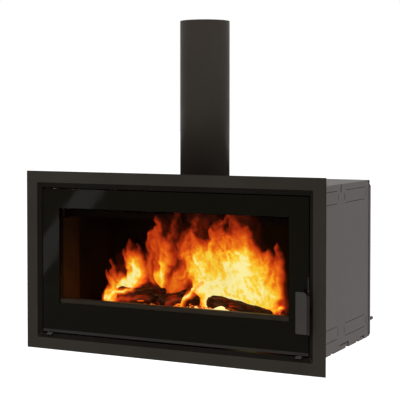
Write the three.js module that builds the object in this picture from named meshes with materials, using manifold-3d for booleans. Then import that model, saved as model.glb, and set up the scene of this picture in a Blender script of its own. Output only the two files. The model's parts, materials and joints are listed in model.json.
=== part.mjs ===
// Built-in wood fireplace: a wide glazed door inside a bevelled trim frame, a sheet-steel
// convection casing behind it, a lined firebox with its logs, and the flue pipe on top.
// Millimetres. X runs left to right seen from the room, Y runs into the wall, Z is up.
// Inside this file Y = 0 is the front face of the trim and Z = 0 the underside of the casing.
import * as THREE from "three";
import { mergeVertices } from "three/addons/utils/BufferGeometryUtils.js";
import Module from "manifold-3d";

const wasm = await Module();
wasm.setup();

// ---------------------------------------------------------------- driving dimensions
const GAP = 0.3;                 // clearance between pieces that seat on each other

const TRIM_W = 1000;             // trim frame, outside
const TRIM_H = 556;
const TRIM_SHEET = 3;
const TRIM_DROP = 36;            // the trim hangs this far below the casing
const TRIM_RISE = 29;            // stands this far above it
const TRIM_LAP = 35;             // and overlaps it this far at each side
const BAND_SIDE = 38.5;          // flat band of the trim at the sides
const BAND_TOP = 35.5;           // and above and below the door
const BEVEL_RUN = 13;            // the bevel inside the side bands, measured across the face
const BEVEL_RISE = 16;           // and inside the top and bottom bands
const BEVEL_DEPTH = 9;

const CASING_SHEET = 2;
const FRONT_CLEAR = 3.5;         // keeps the casing's front edges off the back of the bevel
const CASING_BACK = 478.5;       // depth of the casing's rear face behind the trim face
const FLANGE_WRAP = 13;          // rear panel's flanges, folded forward onto the sides
const FLANGE_SHEET = 1.5;

const DOOR_SIDE_GAP = 3;         // between the door and the bevel's inner edge
const DOOR_BOTTOM_GAP = 5;       // slot under the door, where the air levers come out
const DOOR_TOP_GAP = 3;
const BORDER_SIDE = 59;          // the door frame's stiles, hidden by the glass's black border
const BORDER_TOP = 58.5;
const BORDER_BOTTOM = 106.5;
const FRAME_INSET = 1.5;         // the door frame stops this far inside the glass's edge
const GLASS_T = 4;
const GLASS_Y = 9;               // front face of the glass
const RAIL_H = 8.5;              // polished strip under the glass
const RAIL_T = 4.5;
const RAIL_LEG = 10;
const CLIP_X = 260;
const CLIP_HALF = 15;
const GASKET_T = 1.4;
const GASKET_W = 12;
const DOOR_FRAME_T = 17.5;
const ROPE_T = 6.9;              // rope seal, pressed between the door frame and the face plate
const ROPE_W = 8;
const ROPE_INSET = 10;           // rope's clearance to the window opening

const HINGE_IN = 13;             // the door's axis, in from its left edge
const HINGE_BACK = 11;           // and behind the glass's front face
const PIN_R = 3;
const PIN_CLEAR = 0.25;
const PIN_DEPTH = 11;            // how far a hinge pin sits in the door frame
const BRACKET_T = 3;
const BRACKET_FOOT_T = 2;
const BRACKET_EYE = 5;

const ROD_OUT = 4;               // the handle's axis, out from the door's right edge
const ROD_FORWARD = 12.5;        // and in front of the glass's front face
const HANDLE_ROD_R = 2;
const HANDLE_LIFT = 66.2;        // handle's lower end above the door's lower edge
const HANDLE_H = 117.7;
const HANDLE_W = 33;
const HANDLE_REACH = 19;         // the handle's front plate stands this far before its axis
const HANDLE_T = 4;
const HANDLE_SIDE_T = 3;
const HANDLE_CORNER = 9;
const ROD_ABOVE = 40;            // the handle's rod shows above the handle
const LUG_T = 3;
const LUG_EYE = 3.4;
const LUG_NECK = 2;
const TONGUE_T = 3;
const TONGUE_H = 16;
const TONGUE_LIFT = 52.3;        // tongue above the handle's lower end
const TONGUE_REACH = 34.5;       // tongue's end behind the handle's axis
const NOTCH_W = 15;              // notch in the glass that lets the tongue swing
const NOTCH_FRAME = 24;
const NOTCH_MARGIN = 5;
const CATCH_R = 5;

const FACE_T = 3;                // firebox face plate, which the rope seal meets
const FACE_MARGIN = 6.5;         // its opening is this much wider than the window each side
const FACE_TOP_SPACE = 33;       // between the face plate's top edge and the casing's top
const FACE_SILL = 24;            // its opening starts this far below the window
const FACE_HEAD = 8;             // and ends this far above it

const SIDE_SPACE = 36;           // convection space between the firebox and the casing
const TOP_SPACE = 49;
const BACK_SPACE = 77;
const BOX_SHEET = 3;
const BOX_FLOOR = 60;
const LINER_T = 24;
const POST_T = 32;               // front posts stand proud of the side liners
const POST_DEPTH = 92;
const POST_CHAMFER = 16;
const SMOKE_SPACE = 68;          // between the baffle's seat and the firebox top
const BRICK_H = 17;              // hearth bricks on the firebox floor
const BAFFLE_T = 22;
const THROAT = 60.7;             // smoke gap in front of the baffle
const BAFFLE_SIDE_CLEAR = 4;
const DEFLECTOR_T = 3;
const DEFLECTOR_DROP = 22;       // below the firebox top
const DEFLECTOR_SIDE_CLEAR = 30;
const DEFLECTOR_BACK_CLEAR = 90;

const GRATE_W = 250;
const GRATE_D = 150;
const GRATE_Y = 205;             // centre of the grate
const GRATE_T = 9;
const GRATE_RIM = 12;
const GRATE_BAR = 8;
const GRATE_SLOTS = 11;
const GRATE_LEDGE = 8;
const ASH_WALL = 1.5;
const ASH_DEPTH = 34;
const ASH_BOX_CLEAR = 4;

const RETAINER_H = 24;
const RETAINER_T = 8;

const FLUE_R = 77.5;             // outside radius of the flue pipe
const FLUE_WALL = 2;
const FLUE_Y = 250;
const FLUE_RISE = 496;           // pipe above the casing
const FLUE_HOLE_CLEAR = 1.5;
const COLLAR_WALL = 3;
const COLLAR_RIM = 14;
const COLLAR_RIM_T = 4;
const COLLAR_ABOVE = 8;          // the collar's spigot ends this far above the casing
const ROUND = 48;                // sides of a large circle
const SMALL_ROUND = 16;

const AIR_TAB_IN = 27.5;         // air levers, in from the door's left and right edges
const AIR_TAB_W = 17;
const AIR_TAB_T = 2;
const AIR_TAB_NOSE = 6;
const AIR_SHUTTER_W = 170;
const AIR_SHUTTER_Y0 = 52;
const AIR_SHUTTER_D = 40;
const AIR_HOLE_W = 12;
const AIR_HOLE_D = 24;
const AIR_HOLES = 5;
const AIR_PITCH = 28;
const AIR_TRAVEL = 14;           // half a pitch closes the holes
const AIR_BOX_T = 2;

const BLOWER_R = 27;             // cross-flow blower behind the firebox
const BLOWER_LEN = 300;
const BLOWER_BLADES = 16;
const BLOWER_Z = 42;
const BLOWER_BACK_SPACE = 5;
const BLOWER_WALL = 1.5;
const BLOWER_CLEAR = 3;
const MOTOR_R = 24;
const MOTOR_LEN = 52;
const SHAFT_R = 4;

const GLAND_IN = 9;              // in from the casing's right side
const GLAND_Z = 50;
const GLAND_R = 6.5;
const GLAND_SHANK = 3.9;
const GLAND_LEN = 44;

const BRACKET_SHEET = 1.5;       // angles that fix the trim to the casing
const BRACKET_LEG = 24;
const BRACKET_TAB = 9;
const BRACKET_INSET = 40;

const SLOT = 1.4;                // width of the cuts that outline the knock-outs
const SLOT_UPRIGHT = 3;
const BRIDGE = 9;                // metal left between those cuts

// Logs: ends of each one's centre line seen from above, and its radius at each end.
const LOGS = {
  log_left: { from: [-262, 152], to: [-124, 226], radii: [38, 40] },
  log_middle: { from: [-100, 130], to: [-24, 244], radii: [30, 39] },
  log_right: { from: [38, 222], to: [300, 88], radii: [33, 24] },
};
const LOG_SIDES = 10;

// ---------------------------------------------------------------- places that follow from them
const trimTop = TRIM_H - TRIM_DROP;
const trimHalf = TRIM_W / 2;
const casingTop = trimTop - TRIM_RISE;
const casingHalf = trimHalf - TRIM_LAP;
const casingInner = casingHalf - CASING_SHEET;
const casingFront = TRIM_SHEET + FRONT_CLEAR;
const casingRearInner = CASING_BACK - CASING_SHEET;
const panelBack = casingRearInner - GAP;
const lidHalf = casingInner - GAP;
const seatY = (casingFront + CASING_BACK) / 2;

const openHalf = trimHalf - BAND_SIDE - BEVEL_RUN;           // inside the bevel
const openTop = trimTop - BAND_TOP - BEVEL_RISE;
const openBottom = BAND_TOP + BEVEL_RISE - TRIM_DROP - DOOR_TOP_GAP;
const doorHalf = openHalf - DOOR_SIDE_GAP;
const doorTop = openTop - DOOR_TOP_GAP;
const doorBottom = openBottom + DOOR_BOTTOM_GAP;
const windowHalf = doorHalf - BORDER_SIDE;
const windowBottom = doorBottom + BORDER_BOTTOM;
const windowTop = doorTop - BORDER_TOP;
const glassBottom = doorBottom + RAIL_H + GAP;
const glassBack = GLASS_Y + GLASS_T;
const gasketY = glassBack + GAP;
const gasketFrame = gasketY + GASKET_T;
const frameY = gasketFrame + GAP;
const frameBack = frameY + DOOR_FRAME_T;
const faceY = frameBack + ROPE_T + 2 * GAP;
const frameHalf = doorHalf - FRAME_INSET;
const frameTop = doorTop - FRAME_INSET;
const frameBottom = doorBottom + FRAME_INSET;
const hingeX = HINGE_IN - doorHalf;
const hingeY = GLASS_Y + HINGE_BACK;
const rodX = doorHalf + ROD_OUT;
const rodY = GLASS_Y - ROD_FORWARD;
const handleY = rodY - HANDLE_REACH;
const tongueEnd = rodY + TONGUE_REACH;
const handleBottom = doorBottom + HANDLE_LIFT;
const handleTop = handleBottom + HANDLE_H;
const tongueZ = handleBottom + TONGUE_LIFT;
const tabX = doorHalf - AIR_TAB_IN;

const faceOpenHalf = windowHalf + FACE_MARGIN;
const faceOpenBottom = windowBottom - FACE_SILL;
const faceBack = faceY + FACE_T;
const boxFront = faceBack + GAP;
const boxX = casingInner - SIDE_SPACE - BOX_SHEET;           // inner half width of the firebox
const boxBack = casingRearInner - BACK_SPACE - BOX_SHEET;
const boxRear = boxBack + BOX_SHEET;
const boxTop = casingTop - CASING_SHEET - TOP_SPACE;
const shellHalf = boxX - GAP;
const linerFloor = BOX_FLOOR + BOX_SHEET + GAP;
const linerTop = boxTop - SMOKE_SPACE;
const hearthTop = linerFloor + BRICK_H;
const glandX = casingHalf - GLAND_IN;
const blowerY = casingRearInner - BLOWER_BACK_SPACE - BLOWER_R - BLOWER_CLEAR - BLOWER_WALL;

// ---------------------------------------------------------------- finishes
function finish(color, roughness, metalness) {
  return { color, roughness, metalness };
}
const FINISH = {
  trim: finish(0x2c2b29, 0.55, 0.3),
  casing: finish(0x5c5854, 0.5, 0.4),
  pipe: finish(0x2e2a26, 0.5, 0.4),
  steel: finish(0x4a4947, 0.45, 0.7),
  polished: finish(0x8b8883, 0.35, 0.9),
  glass: finish(0x181614, 0.05, 0.0),
  rope: finish(0x55524c, 0.95, 0.0),
  vermiculite: finish(0x8a6a45, 0.95, 0.0),
  cast: finish(0x26231f, 0.8, 0.5),
  bark: finish(0x3a2a1e, 0.95, 0.0),
  motor: finish(0x1d1d1f, 0.6, 0.2),
};

// ---------------------------------------------------------------- shape helpers
function box(x0, x1, y0, y1, z0, z1) {
  const g = new THREE.BoxGeometry(x1 - x0, y1 - y0, z1 - z0);
  return g.translate((x0 + x1) / 2, (y0 + y1) / 2, (z0 + z1) / 2);
}

function outline(points) {
  return new THREE.Shape(points.map(([a, b]) => new THREE.Vector2(a, b)));
}

function rectangle(a0, a1, b0, b1) {
  return outline([[a0, b0], [a1, b0], [a1, b1], [a0, b1]]);
}

function hole(shape, points) {
  shape.holes.push(new THREE.Path(points.map(([a, b]) => new THREE.Vector2(a, b))));
  return shape;
}

function circle(ca, cb, r, sides) {
  return Array.from({ length: sides }, (_, i) => {
    const t = (2 * Math.PI * i) / sides;
    return [ca + r * Math.cos(t), cb + r * Math.sin(t)];
  });
}

// An outline drawn in (x, y), raised along Z.
function raise(shape, z0, z1) {
  const g = new THREE.ExtrudeGeometry(shape, { depth: z1 - z0, bevelEnabled: false, curveSegments: 6 });
  return g.translate(0, 0, z0);
}

// An outline drawn in (x, z), carried back along Y.
function deepen(shape, y0, y1) {
  const g = new THREE.ExtrudeGeometry(shape, { depth: y1 - y0, bevelEnabled: false, curveSegments: 6 });
  return g.rotateX(Math.PI / 2).translate(0, y1, 0);
}

// An outline drawn in (y, z), carried across along X.
function widen(shape, x0, x1) {
  const g = new THREE.ExtrudeGeometry(shape, { depth: x1 - x0, bevelEnabled: false, curveSegments: 6 });
  const turn = new THREE.Matrix4().makeBasis(
    new THREE.Vector3(0, 1, 0), new THREE.Vector3(0, 0, 1), new THREE.Vector3(1, 0, 0));
  return g.applyMatrix4(turn).translate(x0, 0, 0);
}

function postZ(cx, cy, r, z0, z1, sides = SMALL_ROUND) {
  return raise(outline(circle(cx, cy, r, sides)), z0, z1);
}

function postY(cx, cz, r, y0, y1, sides = SMALL_ROUND) {
  return deepen(outline(circle(cx, cz, r, sides)), y0, y1);
}

function postX(cy, cz, r, x0, x1, sides = SMALL_ROUND) {
  return widen(outline(circle(cy, cz, r, sides)), x0, x1);
}

function tubeZ(cx, cy, rOut, rIn, z0, z1, sides = ROUND) {
  return raise(hole(outline(circle(cx, cy, rOut, sides)), circle(cx, cy, rIn, sides)), z0, z1);
}

// A flat ring that stands in the XZ plane, between two rectangles.
function windowRing(outer, inner, y0, y1) {
  const [a0, a1, b0, b1] = inner;
  const shape = hole(rectangle(...outer), [[a0, b0], [a1, b0], [a1, b1], [a0, b1]]);
  return deepen(shape, y0, y1);
}

function plain(geometry) {
  const g = geometry.clone();
  g.deleteAttribute("normal");
  g.deleteAttribute("uv");
  return mergeVertices(g, 1e-4);
}

function toSolid(geometry) {
  const g = plain(geometry);
  const mesh = new wasm.Mesh({
    numProp: 3,
    vertProperties: new Float32Array(g.attributes.position.array),
    triVerts: new Uint32Array(g.index.array),
  });
  return new wasm.Manifold(mesh);
}

function toGeometry(solid) {
  const mesh = solid.getMesh();
  const g = new THREE.BufferGeometry();
  g.setAttribute("position", new THREE.BufferAttribute(new Float32Array(mesh.vertProperties), 3));
  g.setIndex(new THREE.BufferAttribute(new Uint32Array(mesh.triVerts), 1));
  return g;
}

function cut(geometry, cutters) {
  return toGeometry(cutters.reduce((body, c) => body.subtract(toSolid(c)), toSolid(geometry)));
}

function join(geometries) {
  return toGeometry(geometries.slice(1).reduce((body, g) => body.add(toSolid(g)), toSolid(geometries[0])));
}

function mirrorX(geometry) {
  const g = plain(geometry);
  g.scale(-1, 1, 1);
  const index = g.index.array;
  for (let i = 0; i < index.length; i += 3) {
    [index[i], index[i + 1]] = [index[i + 1], index[i]];
  }
  return g;
}

// ---------------------------------------------------------------- the assembly
const insert = new THREE.Group();
insert.position.set(0, -seatY, 0);

function add(name, geometry, look) {
  const mesh = new THREE.Mesh(plain(geometry), new THREE.MeshStandardMaterial(look));
  mesh.name = name;
  insert.add(mesh);
}

// ---------------------------------------------------------------- trim frame
// One welded frame: every point of its section runs round a rectangle, so its corners mitre.
function trimFrame() {
  const lip = [BAND_SIDE, BAND_TOP];
  const inner = [trimHalf - openHalf, trimTop - openTop];
  const section = [
    { inset: [0, 0], y: 0 },
    { inset: lip, y: 0 },
    { inset: inner, y: BEVEL_DEPTH },
    { inset: inner, y: BEVEL_DEPTH + TRIM_SHEET },
    { inset: [lip[0] - 1, lip[1] - 1], y: TRIM_SHEET },
    { inset: [0, 0], y: TRIM_SHEET },
  ];
  const position = [];
  for (const { inset: [side, top], y } of section) {
    const x = trimHalf - side;
    const isInner = side === inner[0];
    const low = isInner ? openBottom : -TRIM_DROP + top;
    position.push(-x, y, low, x, y, low, x, y, trimTop - top, -x, y, trimTop - top);
  }
  const index = [];
  section.forEach((_, row) => {
    const next = (row + 1) % section.length;
    for (let corner = 0; corner < 4; corner += 1) {
      const a = row * 4 + corner;
      const b = row * 4 + ((corner + 1) % 4);
      const c = next * 4 + ((corner + 1) % 4);
      const d = next * 4 + corner;
      index.push(a, b, c, a, c, d);
    }
  });
  const g = new THREE.BufferGeometry();
  g.setAttribute("position", new THREE.BufferAttribute(new Float32Array(position), 3));
  g.setIndex(index);
  return g;
}
add("trim_frame", trimFrame(), FINISH.trim);

// ---------------------------------------------------------------- casing
// Knock-outs for hot-air ducts: a short one in front and a long one behind, high and low.
const KNOCK_FRONT = { from: 40, length: 152 };
const KNOCK_REAR = { fromBack: 39.5, length: 194 };
const KNOCK_H = 37;
const KNOCK_HIGH = 19;           // upper ones, below the casing's top
const KNOCK_LOW = 38;            // lower ones, above its base
const knockRearEnd = CASING_BACK - KNOCK_REAR.fromBack;
const KNOCKOUTS = [casingTop - KNOCK_HIGH - KNOCK_H, KNOCK_LOW].flatMap((z0) => [
  { y0: KNOCK_FRONT.from, y1: KNOCK_FRONT.from + KNOCK_FRONT.length, z0, z1: z0 + KNOCK_H },
  { y0: knockRearEnd - KNOCK_REAR.length, y1: knockRearEnd, z0, z1: z0 + KNOCK_H },
]);

// Four cuts round a knock-out, with a bridge of metal left at each corner.
function knockoutCuts({ y0, y1, z0, z1 }, x0, x1) {
  const h = SLOT / 2;
  const w = SLOT_UPRIGHT / 2;
  return [
    box(x0, x1, y0 + BRIDGE, y1 - BRIDGE, z0 - h, z0 + h),
    box(x0, x1, y0 + BRIDGE, y1 - BRIDGE, z1 - h, z1 + h),
    box(x0, x1, y0 - w, y0 + w, z0 + BRIDGE, z1 - BRIDGE),
    box(x0, x1, y1 - w, y1 + w, z0 + BRIDGE, z1 - BRIDGE),
  ];
}

const HANG_SLOT = { y: 215, w: 6, h: 24 };
const TAB_CUT = { y0: 204, y1: 284, h: 15.5 };
const REAR_CUT = { y0: 388, y1: 425, h: 10 };
const EDGE_NICKS = [146, 268, 361];
const NICK_W = 18;
const NICK_H = 5;
const NICK_DEEP = 16;            // the base panel is notched this far behind each nick
const TAB_SLOT = 2.4;            // cuts round the two bent-out tabs
const TAB_UPRIGHT = 9;
const CORNER_DEEP = 26;          // cut-off rear top corner of the sides and the flange
const CORNER_HIGH = 19;
const CORNER_LOW = 7.5;

// How far the cut-off rear corners have come in at a depth, from none to all.
function cornerShare(y, y1) {
  return Math.max(0, (y - y1 + CORNER_DEEP) / CORNER_DEEP);
}

function sideOutline(y0, y1, z0, z1) {
  const share = cornerShare(y0, y1);
  const front = [[y0, z0 + CORNER_LOW * share]];
  const frontTop = [[y0, z1 - CORNER_HIGH * share]];
  if (share === 0) {
    front.push([y1 - CORNER_DEEP, z0]);
    frontTop.unshift([y1 - CORNER_DEEP, z1]);
  }
  return outline([...front, [y1, z0 + CORNER_LOW], [y1, z1 - CORNER_HIGH], ...frontTop]);
}

function tabCuts({ y0, y1, h }, x0, x1) {
  return [
    box(x0, x1, y0, y1 - BRIDGE, h - TAB_SLOT / 2, h + TAB_SLOT / 2),
    box(x0, x1, y1 - TAB_UPRIGHT, y1, -1, h + TAB_SLOT / 2),
  ];
}

function casingSide() {
  const x0 = casingHalf - CASING_SHEET;
  const panel = widen(sideOutline(casingFront, panelBack, 0, casingTop), x0, casingHalf);
  const far = casingHalf + 1;
  const near = x0 - 1;
  const cuts = KNOCKOUTS.flatMap((k) => knockoutCuts(k, near, far));
  const { y, w, h } = HANG_SLOT;
  cuts.push(box(near, far, y - w / 2, y + w / 2, casingTop - h, casingTop + 1));
  cuts.push(...tabCuts(TAB_CUT, near, far), ...tabCuts(REAR_CUT, near, far));
  for (const nick of EDGE_NICKS) {
    cuts.push(box(near, far, nick - NICK_W / 2, nick + NICK_W / 2, -1, NICK_H));
  }
  return cut(panel, cuts);
}
add("casing_right", casingSide(), FINISH.casing);
add("casing_left", mirrorX(casingSide()), FINISH.casing);

function casingLid() {
  const shape = hole(rectangle(-lidHalf, lidHalf, casingFront, panelBack),
    circle(0, FLUE_Y, FLUE_R + FLUE_HOLE_CLEAR, ROUND));
  return raise(shape, casingTop - CASING_SHEET, casingTop);
}
add("casing_top", casingLid(), FINISH.casing);

function casingBase() {
  const panel = box(-lidHalf, lidHalf, casingFront, panelBack, 0, CASING_SHEET);
  const openings = [
    ...EDGE_NICKS.map((nick) => [nick - NICK_W / 2, nick + NICK_W / 2]),
    ...[TAB_CUT, REAR_CUT].map(({ y1 }) => [y1 - TAB_UPRIGHT, y1]),
  ];
  const notches = openings.flatMap(([y0, y1]) => [
    box(lidHalf - NICK_DEEP, lidHalf + 1, y0, y1, -1, CASING_SHEET + 1),
    box(-lidHalf - 1, NICK_DEEP - lidHalf, y0, y1, -1, CASING_SHEET + 1),
  ]);
  return cut(panel, notches);
}
add("casing_base", casingBase(), FINISH.casing);

// The rear panel's flanges fold forward outside the side panels.
function casingRear() {
  const xIn = casingHalf + GAP;
  const xOut = xIn + FLANGE_SHEET;
  const y0 = CASING_BACK - FLANGE_WRAP;
  const flange = sideOutline(y0, CASING_BACK, 0, casingTop);
  const back = box(-xOut, xOut, casingRearInner, CASING_BACK, CORNER_LOW, casingTop - CORNER_HIGH);
  const middle = box(-lidHalf, lidHalf, casingRearInner, CASING_BACK, 0, casingTop);
  const panel = join([back, middle, widen(flange, xIn, xOut), widen(flange, -xOut, -xIn)]);
  const entry = postY(glandX, GLAND_Z, GLAND_SHANK + GAP, casingRearInner - 1, CASING_BACK + 1);
  return cut(panel, [entry]);
}
add("casing_rear", casingRear(), FINISH.casing);

// ---------------------------------------------------------------- firebox shell
// The face plate fills the casing's front; the door's rope seal closes against it.
function facePlate() {
  const shape = hole(rectangle(-lidHalf, lidHalf, doorBottom + FRAME_INSET, casingTop - FACE_TOP_SPACE), [
    [-faceOpenHalf, faceOpenBottom], [faceOpenHalf, faceOpenBottom],
    [faceOpenHalf, windowTop + FACE_HEAD], [-faceOpenHalf, windowTop + FACE_HEAD],
  ]);
  return deepen(shape, faceY, faceBack);
}
add("firebox_face_plate", facePlate(), FINISH.steel);

const boxOuter = boxX + BOX_SHEET;
function fireboxWall() {
  return box(boxX, boxOuter, boxFront, boxRear, BOX_FLOOR, boxTop - GAP);
}
add("firebox_wall_right", fireboxWall(), FINISH.steel);
add("firebox_wall_left", mirrorX(fireboxWall()), FINISH.steel);

add("firebox_back", box(-shellHalf, shellHalf, boxBack, boxRear,
  BOX_FLOOR + BOX_SHEET + GAP, boxTop - GAP), FINISH.steel);

const ashHalf = GRATE_W / 2 - GRATE_LEDGE;
const ashDeep = GRATE_D / 2 - GRATE_LEDGE;
function fireboxFloor() {
  const shape = hole(rectangle(-shellHalf, shellHalf, boxFront, boxRear), [
    [-ashHalf, GRATE_Y - ashDeep], [ashHalf, GRATE_Y - ashDeep],
    [ashHalf, GRATE_Y + ashDeep], [-ashHalf, GRATE_Y + ashDeep],
  ]);
  const floor = raise(shape, BOX_FLOOR, BOX_FLOOR + BOX_SHEET);
  const inlets = [-1, 1].flatMap((side) => airHoles(side, 0, BOX_FLOOR - 1, BOX_FLOOR + BOX_SHEET + 1));
  return cut(floor, inlets);
}

// A row of air holes; the shutters hold the same row, slid sideways by their travel.
function airHoles(side, shift, z0, z1) {
  const middle = side * (tabX - AIR_SHUTTER_W / 2);
  return Array.from({ length: AIR_HOLES }, (_, i) => {
    const x = middle + shift + (i - (AIR_HOLES - 1) / 2) * AIR_PITCH;
    const y = AIR_SHUTTER_Y0 + AIR_SHUTTER_D / 2;
    return box(x - AIR_HOLE_W / 2, x + AIR_HOLE_W / 2, y - AIR_HOLE_D / 2, y + AIR_HOLE_D / 2, z0, z1);
  });
}
add("firebox_floor", fireboxFloor(), FINISH.steel);

const collarInner = FLUE_R - FLUE_WALL - GAP - COLLAR_WALL;
function fireboxTop() {
  const half = boxOuter;
  const shape = hole(rectangle(-half, half, boxFront, boxRear),
    circle(0, FLUE_Y, collarInner, ROUND));
  return raise(shape, boxTop, boxTop + BOX_SHEET);
}
add("firebox_top", fireboxTop(), FINISH.steel);

// ---------------------------------------------------------------- lining and hearth
const postHalf = boxX - POST_T;
const postBack = boxFront + GAP + POST_DEPTH;
function frontPost() {
  const shape = outline([
    [boxFront + GAP, linerFloor], [postBack - POST_CHAMFER, linerFloor],
    [postBack, linerFloor + 2 * POST_CHAMFER], [postBack, linerTop - GAP],
    [boxFront + GAP, linerTop - GAP],
  ]);
  return widen(shape, postHalf, boxX - GAP);
}
add("front_post_right", frontPost(), FINISH.vermiculite);
add("front_post_left", mirrorX(frontPost()), FINISH.vermiculite);

const linerHalf = boxX - LINER_T;
const backLinerY = boxBack - GAP - LINER_T;
function sideLiner() {
  return box(linerHalf, boxX - GAP, postBack + GAP, boxBack - GAP, linerFloor, linerTop - GAP);
}
add("side_liner_right", sideLiner(), FINISH.vermiculite);
add("side_liner_left", mirrorX(sideLiner()), FINISH.vermiculite);
add("back_liner", box(-linerHalf + GAP, linerHalf - GAP, backLinerY, boxBack - GAP,
  linerFloor, linerTop - GAP), FINISH.vermiculite);

// Hearth bricks: one each side of the grate, one in front and one behind it.
const grateX = GRATE_W / 2;
const grateFront = GRATE_Y - GRATE_D / 2;
const grateBack = GRATE_Y + GRATE_D / 2;
const hearthFront = AIR_SHUTTER_Y0 + AIR_SHUTTER_D + 6;
const hearthHalf = postHalf - GAP;
function sideBrick() {
  return box(grateX + GAP, hearthHalf, hearthFront, backLinerY - GAP, linerFloor, hearthTop);
}
add("hearth_brick_right", sideBrick(), FINISH.vermiculite);
add("hearth_brick_left", mirrorX(sideBrick()), FINISH.vermiculite);
add("hearth_brick_front", box(-grateX, grateX, hearthFront, grateFront - GAP, linerFloor, hearthTop),
  FINISH.vermiculite);
add("hearth_brick_back", box(-grateX, grateX, grateBack + GAP, backLinerY - GAP, linerFloor, hearthTop),
  FINISH.vermiculite);

function grate() {
  const z0 = linerFloor;
  const z1 = z0 + GRATE_T;
  const slab = box(-grateX, grateX, grateFront, grateBack, z0, z1);
  const pitch = (GRATE_W - 2 * GRATE_RIM + GRATE_BAR) / GRATE_SLOTS;
  const slots = Array.from({ length: GRATE_SLOTS }, (_, i) => {
    const x0 = -grateX + GRATE_RIM + i * pitch;
    return box(x0, x0 + pitch - GRATE_BAR, grateFront + GRATE_RIM, grateBack - GRATE_RIM, z0 - 1, z1 + 1);
  });
  return cut(slab, slots);
}
add("grate", grate(), FINISH.cast);

// The ash pan stands in a welded box under the floor; it lifts out with the grate off.
const ashTop = BOX_FLOOR - GAP;
function openTray(half, y0, y1, z0, z1, wall) {
  return cut(box(-half, half, y0, y1, z0, z1),
    [box(-half + wall, half - wall, y0 + wall, y1 - wall, z0 + wall, z1 + 1)]);
}
const panHalf = ashHalf - 1;
const panFront = GRATE_Y - ashDeep + 1;
const panBack = GRATE_Y + ashDeep - 1;
const panBottom = ashTop - ASH_DEPTH;
add("ash_pan", openTray(panHalf, panFront, panBack, panBottom, ashTop - 1, ASH_WALL), FINISH.steel);
add("ash_box", openTray(panHalf + ASH_BOX_CLEAR, panFront - ASH_BOX_CLEAR, panBack + ASH_BOX_CLEAR,
  panBottom - ASH_WALL - GAP, ashTop, ASH_WALL), FINISH.steel);

// Bar along the front of the hearth that keeps the logs off the glass, on two legs.
function logRetainer() {
  const y0 = boxFront + 2;
  const y1 = y0 + RETAINER_T;
  const half = faceOpenHalf - 4;
  const bar = box(-half, half, y0, y1, faceOpenBottom - RETAINER_H / 2, faceOpenBottom + RETAINER_H / 2);
  const legs = [-1, 1].map((side) => {
    const x = side * (half - 40);
    return box(x - 8, x + 8, y0, y1, linerFloor, faceOpenBottom);
  });
  return join([bar, ...legs]);
}
add("log_retainer", logRetainer(), FINISH.cast);

// The baffle rests on the liners' top edges and leaves the smoke a way round its front.
const baffleHalf = shellHalf - BAFFLE_SIDE_CLEAR;
add("baffle", box(-baffleHalf, baffleHalf, boxFront + THROAT, boxBack - GAP, linerTop, linerTop + BAFFLE_T),
  FINISH.vermiculite);

function deflector() {
  const y0 = boxFront + GAP;
  const y1 = boxBack - DEFLECTOR_BACK_CLEAR;
  const half = shellHalf - DEFLECTOR_SIDE_CLEAR;
  const deflectorZ = boxTop - DEFLECTOR_DROP;
  const plate = box(-half, half, y0, y1, deflectorZ, deflectorZ + DEFLECTOR_T);
  const ears = [-1, 1].map((side) => box(
    Math.min(side * (half - DEFLECTOR_T), side * half), Math.max(side * (half - DEFLECTOR_T), side * half),
    y0 + 20, y1 - 20, deflectorZ, boxTop - GAP));
  return join([plate, ...ears]);
}
add("smoke_deflector", deflector(), FINISH.steel);

// ---------------------------------------------------------------- flue
const collarBase = boxTop + BOX_SHEET + GAP;
function flueCollar() {
  const spigotOuter = FLUE_R - FLUE_WALL - GAP;
  const rim = tubeZ(0, FLUE_Y, FLUE_R + COLLAR_RIM, collarInner, collarBase, collarBase + COLLAR_RIM_T);
  const spigot = tubeZ(0, FLUE_Y, spigotOuter, collarInner, collarBase, casingTop + COLLAR_ABOVE);
  return join([rim, spigot]);
}
add("flue_collar", flueCollar(), FINISH.cast);
add("flue_pipe", tubeZ(0, FLUE_Y, FLUE_R, FLUE_R - FLUE_WALL,
  collarBase + COLLAR_RIM_T + GAP, casingTop + FLUE_RISE), FINISH.pipe);

// ---------------------------------------------------------------- door
const rect = (half, z0, z1) => [-half, half, z0, z1];

// The glass is notched at its right edge, behind the handle, where the latch tongue swings.
const notchZ0 = tongueZ - NOTCH_MARGIN;
const notchZ1 = tongueZ + TONGUE_H + NOTCH_MARGIN;
function doorGlass() {
  const pane = outline([
    [-doorHalf, glassBottom], [doorHalf, glassBottom], [doorHalf, notchZ0],
    [doorHalf - NOTCH_W, notchZ0], [doorHalf - NOTCH_W, notchZ1], [doorHalf, notchZ1],
    [doorHalf, doorTop], [-doorHalf, doorTop],
  ]);
  return deepen(pane, GLASS_Y, GLASS_Y + GLASS_T);
}
add("door_glass", doorGlass(), FINISH.glass);

const GASKET_INSET = 3;          // gasket's clearance to the window opening
const gasketFar = GASKET_INSET + GASKET_W;
add("glass_gasket", windowRing(
  rect(windowHalf + gasketFar, windowBottom - gasketFar, windowTop + gasketFar),
  rect(windowHalf + GASKET_INSET, windowBottom - GASKET_INSET, windowTop + GASKET_INSET),
  gasketY, gasketFrame), FINISH.rope);

// An angle under the glass: its front leg is the light strip, its lower leg carries the pane.
function glassRail() {
  const shape = outline([
    [GLASS_Y - 0.5, doorBottom], [frameY + RAIL_LEG, doorBottom], [frameY + RAIL_LEG, doorBottom + 1.2],
    [GLASS_Y - 0.5 + RAIL_T, doorBottom + 1.2], [GLASS_Y - 0.5 + RAIL_T, doorBottom + RAIL_H],
    [GLASS_Y - 0.5, doorBottom + RAIL_H],
  ]);
  const rail = widen(shape, -doorHalf, doorHalf);
  return cut(rail, [postZ(hingeX, hingeY, PIN_R + 1.5, doorBottom - 1, doorBottom + 3)]);
}
add("glass_rail", glassRail(), FINISH.polished);

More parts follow.
